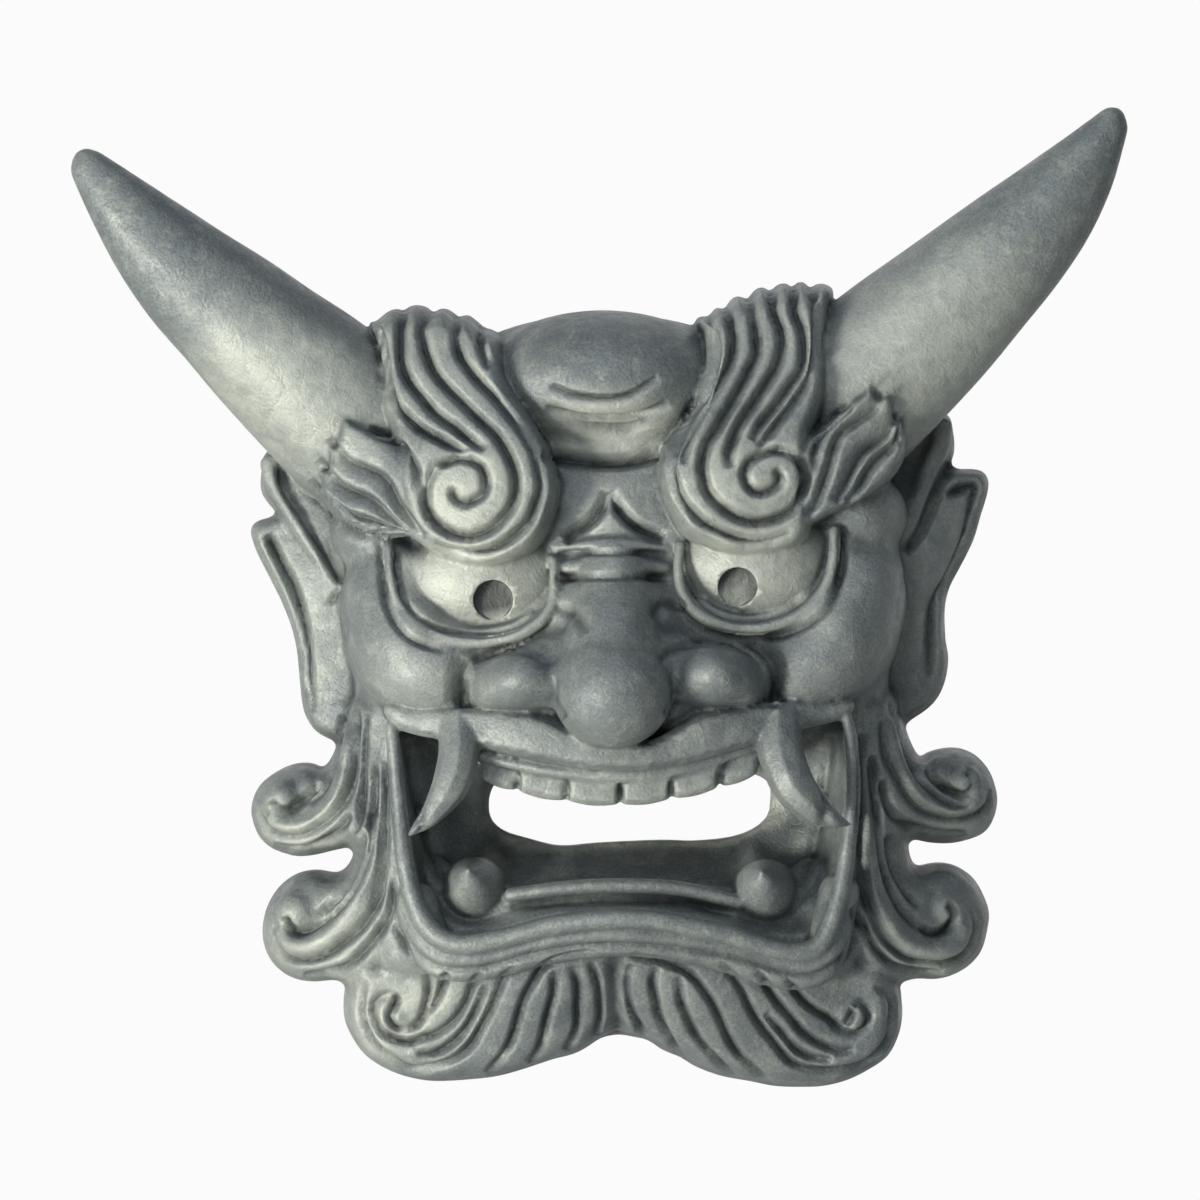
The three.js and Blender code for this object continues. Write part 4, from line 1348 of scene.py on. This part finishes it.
        # Lower gum with its ridge, and the two blunt lower canines.
        clay.coil(((-72, -214, 44, 10), (-50, -226, 54, 9), (-20, -227, 58, 8.4), (8, -226, 59, 8.4),
                   (40, -227, 58, 8.4), (68, -228, 54, 9), (88, -216, 44, 10)), flat=1.0)
        clay.coil(((-36, -222, 66, 2.8), (-16, -219.4, 69, 3.1), (5, -218.2, 70, 3.1),
                   (32, -219.4, 69, 3.1), (56, -225, 66, 2.8)), flat=1.4)
        for x, z in ((-50.4, -220.4), (66.4, -221.4)):
            clay.ball((x, z, 54), (13.4, 13.4, 14))
            clay.coil(((x, z, 54, 13.2), (x - 0.5, z + 1.8, 63, 11.8), (x - 1, z + 4.2, 70.6, 8.4),
                       (x - 1.5, z + 6.8, 76.6, 4.4), (x - 1.9, z + 8.8, 80.4, 1.2)), flat=1.0, sides=28,
                      step=1.5)

    def low(self, x: float) -> float:
        """Height of the teeth's lower edge."""
        return -185.4 + 9.6 * ((x - 8) / 55) ** 2 + 2.5 * max((x - 8) / 55, 0)

    def front(self, x: float) -> float:
        """Depth of the teeth's front."""
        return 97 - 12 * ((x - 8) / 55) ** 2

    def strokes(self) -> list[Stroke]:
        """Lines inside the mouth and under the lip.

        Returns:
            The strokes, in order.
        """
        return [
            Stroke(((-77, -160), (-74, -180), (-69, -200), (-62, -222)), 2.6, 3, Edge.SOFT),
            Stroke(((93, -158), (90, -180), (87, -200), (81, -220)), 2.6, 3, Edge.SOFT),
            Stroke(((-84, -232), (-74, -245), (-64, -250.5), (-50, -251), (-40, -249), (-31, -246),
                    (-21, -243.6), (-7, -241.6), (8, -241), (29, -242.4), (42, -244.4), (59, -247.6),
                    (73, -252), (86, -253), (98, -246), (104, -234)), 3.2, 3, Edge.VEE, fade=(0.05, 0.05)),
            Stroke(((-36, -227), (-16, -224.8), (6, -223.6), (32, -224.8), (53, -230)), 3, 2.4),
            *(Stroke(((x, -176 + 0.0028 * (x - 8) ** 2), (x, -188 + 0.0042 * (x - 8) ** 2)), 2.2, 1.4,
                     fade=(0.2, 0))
              for _, x in self.teeth[:-1]),
        ]


@dataclass(frozen=True)
class Hollow:
    """The hollow of the back, which leaves a wall of even strength and a flat bedding rim."""

    dome: Spot = (6, -84, 0)
    dome_size: Spot = (80, 66, 56)
    outline: Route = (
        (-70, -110), (-74, -160), (-72, -205), (-58, -234), (8, -230), (74, -236), (86, -205), (90, -160),
        (84, -110), (8, -100))
    crest: Spot = (8, -170, 22)

    def scoop(self, tool: Clay) -> None:
        """Adds the hollow to a cutting tool.

        Args:
            tool: The tool.
        """
        tool.ball(self.dome, self.dome_size)
        tool.pad(Pad(self.outline, foot=-20, crest=pins(self.crest), edge=16, wall=0.55))

    def flatten(self, tool: Clay) -> None:
        """Adds the slice behind the flat back to a cutting tool.

        Args:
            tool: The tool.
        """
        matrix = Matrix.Translation((0, 0.1, -0.1)) @ Matrix.Diagonal((1.2, 0.2, 1.2, 1))
        bmesh.ops.create_cube(tool.bm, size=1, matrix=matrix)


# ---------------------------------------------------------------------------
# Finish
# ---------------------------------------------------------------------------


def linear(code: str) -> tuple[float, float, float, float]:
    """Turns an sRGB hex colour into linear light.

    Args:
        code: Colour such as "#7f8685".

    Returns:
        Red, green, blue and a full alpha.
    """
    parts = [int(code[i:i + 2], 16) / 255 for i in (1, 3, 5)]
    made = [p / 12.92 if p <= 0.04045 else ((p + 0.055) / 1.055) ** 2.4 for p in parts]
    return (*made, 1.0)


@dataclass(frozen=True)
class ClayFinish:
    """Smoke-fired roof clay: a thin silvery carbon skin over a dark grey body.

    Attributes:
        skin: The carbon skin where it is full.
        smoky: The same where more smoke lay.
        mottle: Cream of the patches where the skin is thin.
        worn_and_lit: Pale clay where proud edges show wear, also used as painted highlight along the ridges
            and as painted light on fronts turned forwards and down.
        painted_shade_colour: Dark painted as shade into the cuts, creases and shaded patches.
        cloud_scale: Scale of the smoke's broad cloudiness, per metre.
        smear_scale: Scale of the smears of the sponge and the modelling tool, per metre.
        grit_mm: Size of the clay's grit.
        mottle_mm: Size of the cream patches.
        roughness: Least and most roughness.
        metallic: Share of metallic sheen in the carbon skin.
        specular: Strength of the highlights.
    """

    skin: str = "#7f8685"
    smoky: str = "#666e70"
    mottle: str = "#9fa59a"
    worn_and_lit: str = "#c2c6ba"
    painted_shade_colour: str = "#24292a"
    cloud_scale: float = 14.0
    smear_scale: float = 160.0
    grit_mm: float = 1.1
    mottle_mm: float = 9.0
    roughness: tuple[float, float] = (0.38, 0.58)
    metallic: float = 0.2
    specular: float = 0.45


Colour = tuple[float, float, float, float]
Source = bpy.types.NodeSocket | Colour | float


class Paint:
    """Builds node materials."""

    def __init__(self, name: str) -> None:
        """Starts a material with the usual shader.

        Args:
            name: Name of the material.
        """
        self.material = bpy.data.materials.new(name)
        self.material.use_nodes = True
        self.tree = self.material.node_tree
        self.shader = self.tree.nodes["Principled BSDF"]

    def node(self, kind: str, **settings: object) -> bpy.types.Node:
        """Adds one node.

        Args:
            kind: Type of the node.
            settings: Values by the name of a property or of an input socket.

        Returns:
            The node.
        """
        made = self.tree.nodes.new(kind)
        for key, value in settings.items():
            if hasattr(made, key):
                setattr(made, key, value)
            else:
                made.inputs[key].default_value = value
        return made

    def feed(self, source: Source, target: bpy.types.NodeSocket) -> None:
        """Feeds an input socket.

        Args:
            source: Another node's output, or a fixed value.
            target: The input.
        """
        if isinstance(source, bpy.types.NodeSocket):
            self.tree.links.new(source, target)
        else:
            target.default_value = source

    def noise(self, where: Source, scale: float, detail: float, rough: float, twist: float = 0.0) -> Source:
        """Adds a noise.

        Args:
            where: Coordinates.
            scale: Scale, per metre.
            detail: Octaves.
            rough: Strength of the finer octaves.
            twist: Distortion.

        Returns:
            Its value, about 0.5 on average.
        """
        made = self.node("ShaderNodeTexNoise", Scale=scale, Detail=detail, Roughness=rough,
                         Distortion=twist)
        self.feed(where, made.inputs["Vector"])
        return made.outputs["Fac"]

    def spread(self, value: Source, span: tuple[float, float], to: tuple[float, float]) -> Source:
        """Maps a value from one range to another and returns the result."""
        ends = {"From Min": span[0], "From Max": span[1], "To Min": to[0], "To Max": to[1]}
        made = self.node("ShaderNodeMapRange", **ends)
        self.feed(value, made.inputs["Value"])
        return made.outputs["Result"]

    def mix(self, amount: Source, under: Source, over: Source, how: str = "MIX") -> Source:
        """Lays one colour over another.

        Args:
            amount: Share of the upper colour.
            under: Colour underneath.
            over: Colour on top.
            how: Way of blending.

        Returns:
            The mixed colour.
        """
        made = self.node("ShaderNodeMix", data_type="RGBA", blend_type=how)
        for source, name in ((amount, "Factor"), (under, "A"), (over, "B")):
            self.feed(source, made.inputs[name])
        return made.outputs["Result"]


def clay_material(finish: ClayFinish) -> bpy.types.Material:
    """The tile's skin: silvery grey with fine grit, painted shade in the cuts and shaded patches, painted
    light on fronts turned forwards and down, and pale edge wear that is also a painted highlight.

    Args:
        finish: Colours and sizes of the finish.

    Returns:
        The material, which reads what read_relief wrote.
    """
    paint = Paint("ibushi_clay")
    where = paint.node("ShaderNodeTexCoord").outputs["Object"]
    # Masks of painted shade, of edge wear with painted highlight, and of painted light, written by
    # read_relief.
    painted_shade, rubbed_and_highlit, painted_light = (paint.node("ShaderNodeAttribute", attribute_name=name).outputs["Fac"]
                             for name in ("painted_shade", "rubbed_and_highlit", "painted_light"))
    worn_and_lit = linear(finish.worn_and_lit)

    # Broad cloudiness of the smoke in the kiln, and cream patches where the carbon skin is thin.
    cloud = paint.noise(where, finish.cloud_scale, 4.0, 0.6)
    tone = paint.spread(cloud, (0.36, 0.64), (0.0, 1.0))
    base = paint.mix(tone, linear(finish.smoky), linear(finish.skin))
    patch = paint.noise(where, 1 / (finish.mottle_mm * MM), 6.0, 0.7)
    thin = paint.spread(patch, (0.48, 0.7), (0.0, 0.5))
    mottled = paint.mix(thin, base, linear(finish.mottle))

    # Grit of the clay body.
    grit = paint.noise(where, 1 / (finish.grit_mm * MM), 3.0, 0.65)
    speck = paint.spread(grit, (0.34, 0.66), (0.7, 1.15))
    speckled = paint.mix(1.0, mottled, speck, "MULTIPLY")

    # Painted light: fronts turned forwards and down are made paler in the given patches, broken up in
    # smears.
    smear = paint.noise(where, finish.smear_scale, 3.0, 0.55, 0.6)
    wisp = paint.spread(smear, (0.3, 0.7), (0.55, 1.0))
    # Share of painted light at each point, broken up by the smears.
    cream = paint.node("ShaderNodeMath", operation="MULTIPLY")
    paint.feed(painted_light, cream.inputs[0])
    paint.feed(wisp, cream.inputs[1])
    painted_lit = paint.mix(cream.outputs["Value"], speckled, worn_and_lit)

    # Painted shade in the cuts and shaded patches, then edge wear with painted highlight over everything.
    shade_mixed = paint.mix(painted_shade, painted_lit, linear(finish.painted_shade_colour))
    paint.feed(paint.mix(rubbed_and_highlit, shade_mixed, worn_and_lit), paint.shader.inputs["Base Color"])

    gloss = paint.spread(smear, (0.3, 0.7), finish.roughness)
    paint.feed(gloss, paint.shader.inputs["Roughness"])
    paint.feed(finish.metallic, paint.shader.inputs["Metallic"])
    paint.feed(finish.specular, paint.shader.inputs["Specular IOR Level"])

    fine = paint.node("ShaderNodeBump", Strength=0.6, Distance=0.0005)
    paint.feed(grit, fine.inputs["Height"])
    broad = paint.node("ShaderNodeBump", Strength=0.5, Distance=0.0012)
    paint.feed(smear, broad.inputs["Height"])
    paint.feed(fine.outputs["Normal"], broad.inputs["Normal"])
    paint.feed(broad.outputs["Normal"], paint.shader.inputs["Normal"])
    return paint.material


Patch = tuple[float, float, float, float, float]

# Patches of painted light on faces turned forwards and down: x, z, half width, half height, strength.
LIGHT_PATCHES: tuple[Patch, ...] = (
    (-46, -98, 36, 26, 0.7), (60, -92, 36, 26, 0.65), (-50, -64, 26, 26, 0.6), (57, -58, 28, 28, 0.55),
    (3, -36, 30, 14, 0.75), (3, -72, 18, 20, 0.3), (-122, -112, 26, 46, 0.15), (132, -96, 26, 50, 0.25),
    (-125, -20, 44, 34, 0.55), (135, -6, 50, 44, 0.55), (8, -163, 80, 12, 0.12), (-84, -270, 26, 24, 0.45),
    (-122, -194, 26, 16, 0.4), (-116, -240, 28, 18, 0.4), (142, -190, 26, 16, 0.3),
    (134, -240, 26, 18, 0.3), (-72, -138, 34, 16, 0.2), (-64, -10, 26, 26, 0.3), (64, -6, 28, 28, 0.2),
    (8, -180, 60, 10, 0.3),
)
# Patches of painted shade: x, z, half width, half height, strength.
SHADE_PATCHES: tuple[Patch, ...] = (
    (8, -247, 84, 12, 0.22), (124, -200, 46, 70, 0.16), (-96, -200, 12, 60, 0.16), (64, -276, 50, 30, 0.14),
    (112, -30, 22, 20, 0.12), (5, -108, 34, 14, 0.1), (-9, -32.4, 9, 2.2, 0.34), (4, -34.4, 12, 2.8, 0.42),
    (17, -32.2, 9, 2.2, 0.34),
)
MOUTH_SHADE: Patch = (8, -206, 96, 62, 0.5)  # the same, only for what lies deep in the mouth
MOUTH_DEPTH = 64  # where the mouth's painted shade begins, in millimetres; it is full MOUTH_FADE behind that
MOUTH_FADE = 14
HOLLOW_MM, CUT_SHADE_MOST = 0.55, 0.85  # how hollow a point is for the darkest painted shade in a cut, and how dark that shade is
PROUD_MM, PROUD_MOST = 0.9, 0.28  # how proud an edge is for the palest wear and painted highlight, and how pale that is
PROUD_FROM = 0.1  # how proud the wear and painted highlight begin, in millimetres
RELIEF_PASSES = 6  # of smoothing, against which hollow and proud are measured


def patches(plan: np.ndarray, spots: Sequence[Patch]) -> np.ndarray:
    """Lays soft-edged ellipses over the face; where they overlap, the strongest counts.

    Args:
        plan: Rows of x, z.
        spots: The ellipses.

    Returns:
        Strength at each place.
    """
    value = np.zeros(len(plan))
    for x, z, across, up, share in spots:
        square = ((plan[:, 0] - x) / across) ** 2 + ((plan[:, 1] - z) / up) ** 2
        value = np.maximum(value, share * np.exp(-(square**2)))
    return value


def read_relief(thing: bpy.types.Object) -> None:
    """Writes the masks of painted shade in the cuts and shaded patches, of edge wear that is also a painted
    highlight, and of painted light on fronts turned forwards and down.

    Args:
        thing: The finished body; it gets the attributes cavity (painted shade), rubbed (edge wear and
            painted highlight) and wiped (painted light).
    """
    mesh = thing.data
    count = len(mesh.vertices)
    co = read_vectors(mesh, "co").astype(float)
    normal = read_vectors(mesh, "normal").astype(float)
    ends = np.empty(len(mesh.edges) * 2, int)
    mesh.edges.foreach_get("vertices", ends)
    a, b = ends.reshape(-1, 2).T
    links = np.maximum(np.bincount(a, minlength=count) + np.bincount(b, minlength=count), 1)

    def around(values: np.ndarray) -> np.ndarray:
        """Mean of each vertex's neighbours."""
        return (np.bincount(a, values[b], count) + np.bincount(b, values[a], count)) / links

    soft = co.copy()
    bend = np.zeros(count)
    for _ in range(RELIEF_PASSES):
        soft = 0.3 * soft + 0.7 * np.column_stack([around(column) for column in soft.T])
        bend += ((soft - co) * normal).sum(1)
    bend /= RELIEF_PASSES
    for _ in range(2):
        bend = 0.5 * bend + 0.5 * around(bend)

    plan = co[:, [0, 2]] / MM
    # Painted light: paler on faces turned forwards and down, towards the lamps, within the given patches.
    painted_light = patches(plan, LIGHT_PATCHES) * np.clip(-normal[:, 1] * 1.4 - normal[:, 2] * 0.9, 0, 1)
    # Painted shade in the given patches, and over what lies deep in the mouth.
    deep = np.clip((MOUTH_DEPTH + co[:, 1] / MM) / MOUTH_FADE, 0, 1)
    shade_patched = np.maximum(patches(plan, SHADE_PATCHES), patches(plan, [MOUTH_SHADE]) * deep)
    # Painted shade in the cuts and creases, darker the more hollow the point.
    hollow = np.clip(bend / (HOLLOW_MM * MM), 0, 1) * CUT_SHADE_MOST
    # Pale edge wear on proud points, also a painted highlight along the ridges.
    proud = np.clip((-bend - PROUD_FROM * MM) / (PROUD_MM * MM), 0, 1) * PROUD_MOST
    for name, value in (("painted_shade", 1 - (1 - hollow) * (1 - shade_patched)), ("rubbed_and_highlit", proud), ("painted_light", painted_light)):
        layer = mesh.attributes.new(name, "FLOAT", "POINT")
        layer.data.foreach_set("value", value.astype(np.float32))


# ---------------------------------------------------------------------------
# The tile and its stage
# ---------------------------------------------------------------------------


class Onigawara:
    """The whole tile: one fired piece."""

    def __init__(self) -> None:
        """Puts the sub-assemblies in the order in which they are worked."""
        self.mouth = Mouth()
        self.hollow = Hollow()
        self.eyes = (Eye(Eye.LEFT), Eye(Eye.RIGHT))
        self.flesh = (Skull(), Horn(Horn.LEFT), Horn(Horn.RIGHT), Cheeks(), Nose())
        self.behind = (Ear(Ear.LEFT), Ear(Ear.RIGHT), SideHair(SideHair.LEFT), SideHair(SideHair.RIGHT),
                       Beard())
        self.front = (self.mouth, *self.eyes, Glabella(), Brow(Brow.LEFT), Brow(Brow.RIGHT))

    def lute(self, parts: Sequence[Part], name: str) -> bpy.types.Object:
        """Puts the masses of several sub-assemblies into one object.

        Args:
            parts: The sub-assemblies, in order.
            name: Name of the object.

        Returns:
            The object.
        """
        clay = Clay()
        for part in parts:
            part.add_to(clay)
        return clay.body(name)

    def masses(self) -> bpy.types.Object:
        """Lutes the masses together, sinks the mouth, hollows the back and softens the whole.

        Returns:
            The body before its strokes.
        """
        body = fuse(self.lute(self.flesh, "onigawara"), ROUGH_GRAIN, passes=9)
        fuse(join(body, self.lute(self.behind, "behind")), ROUGH_GRAIN)
        LOG.info("back masses: %d faces", len(body.data.polygons))
        bowl = Clay()
        self.mouth.sink(bowl)
        cut(body, fuse(bowl.body("bowl"), ROUGH_GRAIN))
        fuse(join(body, self.lute(self.front, "front")), FINE_GRAIN, passes=2)
        tool = Clay()
        self.hollow.scoop(tool)
        self.mouth.pierce(tool)
        self.hollow.flatten(tool)
        cut(body, fuse(tool.body("scoop"), ROUGH_GRAIN, passes=2))
        drill = Clay()
        for eye in self.eyes:
            eye.drill(drill)
        cut(body, drill.body("drill"))
        LOG.info("joined: %d faces", len(body.data.polygons))
        return body

    def carve(self, body: bpy.types.Object) -> None:
        """Cuts every stroke into the front.

        Args:
            body: The body, whose mesh is changed.
        """
        chisel = Chisel(body)
        strokes = [s for part in (*self.flesh, *self.behind, *self.front) for s in part.strokes()]
        for stroke in strokes:
            chisel.strike(stroke)
        chisel.finish()
        LOG.info("strokes: %d", len(strokes))

    def build(self) -> bpy.types.Object:
        """Makes the tile.

        Returns:
            The finished piece, with its material.
        """
        body = self.masses()
        self.carve(body)
        soften(body, "sponge", passes=1, weight=0.4)
        settle(body)
        triangles = sum(len(p.vertices) - 2 for p in body.data.polygons)
        thin = body.modifiers.new("thin", "DECIMATE")
        thin.ratio = min(1, TRIANGLES / triangles)
        thin.use_collapse_triangulate = True
        settle(body)
        body.data.shade_smooth()
        read_relief(body)
        body.data.materials.clear()
        body.data.materials.append(clay_material(ClayFinish()))
        LOG.info("tile: %d triangles from %d", len(body.data.polygons), triangles)
        return body


@dataclass(frozen=True)
class Lamp:
    """One soft square lamp.

    Attributes:
        name: Name of the lamp.
        spot: Its place in the scene, in metres.
        size: Its side, in metres.
        power: Its power, in watts.
        tint: Its colour.
    """

    name: str
    spot: Spot
    size: float
    power: float
    tint: str


@dataclass(frozen=True)
class Studio:
    """Pale floor, soft lamps and the camera.

    Attributes:
        lamps: The lamps.
        aim: The point of the tile that they are aimed at, in metres.
        eye: Place of the camera, in metres.
        lens: Focal length of the camera, in millimetres.
        film: Width of its picture area, in millimetres.
        floor_half: Half the side of the floor, in metres.
        floor_tint: Colour of the floor.
        front_tint: Colour of the room on the side of the lamps, and front_power its strength.
        back_tint: Colour of the room behind the tile.
    """

    lamps: tuple[Lamp, ...] = (
        Lamp("key", (-1.3, -1.3, -0.56), 0.5, 44, "#fffbf2"),
        Lamp("front", (-0.5, -2.1, 0.8), 0.9, 12, "#f4f8ff"),
        Lamp("top", (0.1, -0.9, 1.6), 1.2, 7, "#e6eeff"))
    aim: Spot = (0, -0.05, -0.1)
    eye: Spot = (0, -2.6, -0.104)
    lens: float = 190
    film: float = 36
    floor_half: float = 4
    floor_tint: str = "#e9e9e7"
    front_tint: str = "#dfe6ec"
    front_power: float = 0.15
    back_tint: str = "#fbfbfb"

    def hang(self, lamp: Lamp) -> None:
        """Hangs a lamp and aims it at the tile.

        Args:
            lamp: The lamp.
        """
        light = bpy.data.lights.new(lamp.name, "AREA")
        light.shape = "SQUARE"
        light.size = lamp.size
        light.energy = lamp.power
        light.color = linear(lamp.tint)[:3]
        thing = show(bpy.data.objects.new(lamp.name, light))
        thing.location = lamp.spot
        aim = Vector(self.aim) - Vector(lamp.spot)
        thing.rotation_euler = aim.to_track_quat("-Z", "Y").to_euler()

    def room(self) -> bpy.types.World:
        """Makes the room: white behind the tile, and a quieter cool grey on the side of the lamps.

        Returns:
            The world.
        """
        world = bpy.data.worlds.new("studio")
        world.use_nodes = True
        nodes = world.node_tree.nodes
        links = world.node_tree.links
        axes = nodes.new("ShaderNodeSeparateXYZ")
        links.new(nodes.new("ShaderNodeTexCoord").outputs["Generated"], axes.inputs["Vector"])
        behind = nodes.new("ShaderNodeMapRange")
        behind.inputs["From Min"].default_value = 0.2
        behind.inputs["From Max"].default_value = 0.7
        links.new(axes.outputs["Y"], behind.inputs["Value"])
        blend = nodes.new("ShaderNodeMix")
        blend.data_type = "RGBA"
        quiet = [self.front_power * c for c in linear(self.front_tint)[:3]]
        blend.inputs["A"].default_value = [*quiet, 1.0]
        blend.inputs["B"].default_value = linear(self.back_tint)
        links.new(behind.outputs["Result"], blend.inputs["Factor"])
        links.new(blend.outputs["Result"], nodes["Background"].inputs["Color"])
        return world

    def ground(self) -> bpy.types.Object:
        """Makes the floor.

        Returns:
            The floor, with its paint.
        """
        bm = bmesh.new()
        matrix = Matrix.Translation((0, 0, FLOOR))
        bmesh.ops.create_grid(bm, x_segments=1, y_segments=1, size=self.floor_half, matrix=matrix)
        mesh = bpy.data.meshes.new("floor")
        bm.to_mesh(mesh)
        bm.free()
        paint = Paint("pale_floor")
        paint.feed(linear(self.floor_tint), paint.shader.inputs["Base Color"])
        paint.feed(0.8, paint.shader.inputs["Roughness"])
        mesh.materials.append(paint.material)
        return show(bpy.data.objects.new("floor", mesh))

    def build(self) -> None:
        """Sets the stage."""
        scene = bpy.context.scene
        scene.view_settings.view_transform = "Standard"
        scene.world = self.room()
        floor = self.ground()
        for lamp in self.lamps:
            self.hang(lamp)
        camera = bpy.data.cameras.new("camera")
        camera.lens = self.lens
        camera.sensor_width = self.film
        scene.camera = show(bpy.data.objects.new("camera", camera))
        scene.camera.location = self.eye
        scene.camera.rotation_euler = (math.radians(90), 0, 0)


def main() -> None:
    """Builds the tile, hands it to the frame and sets the stage."""
    logging.basicConfig(level=logging.INFO, format="%(relativeCreated)6d ms %(name)s: %(message)s")
    tile = Onigawara().build()
    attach(tile, "root")
    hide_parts("onigawara_tile")
    LOG.info("piece %s rides on root", tile.name)
    Studio().build()


if __name__ == "__main__":
    main()
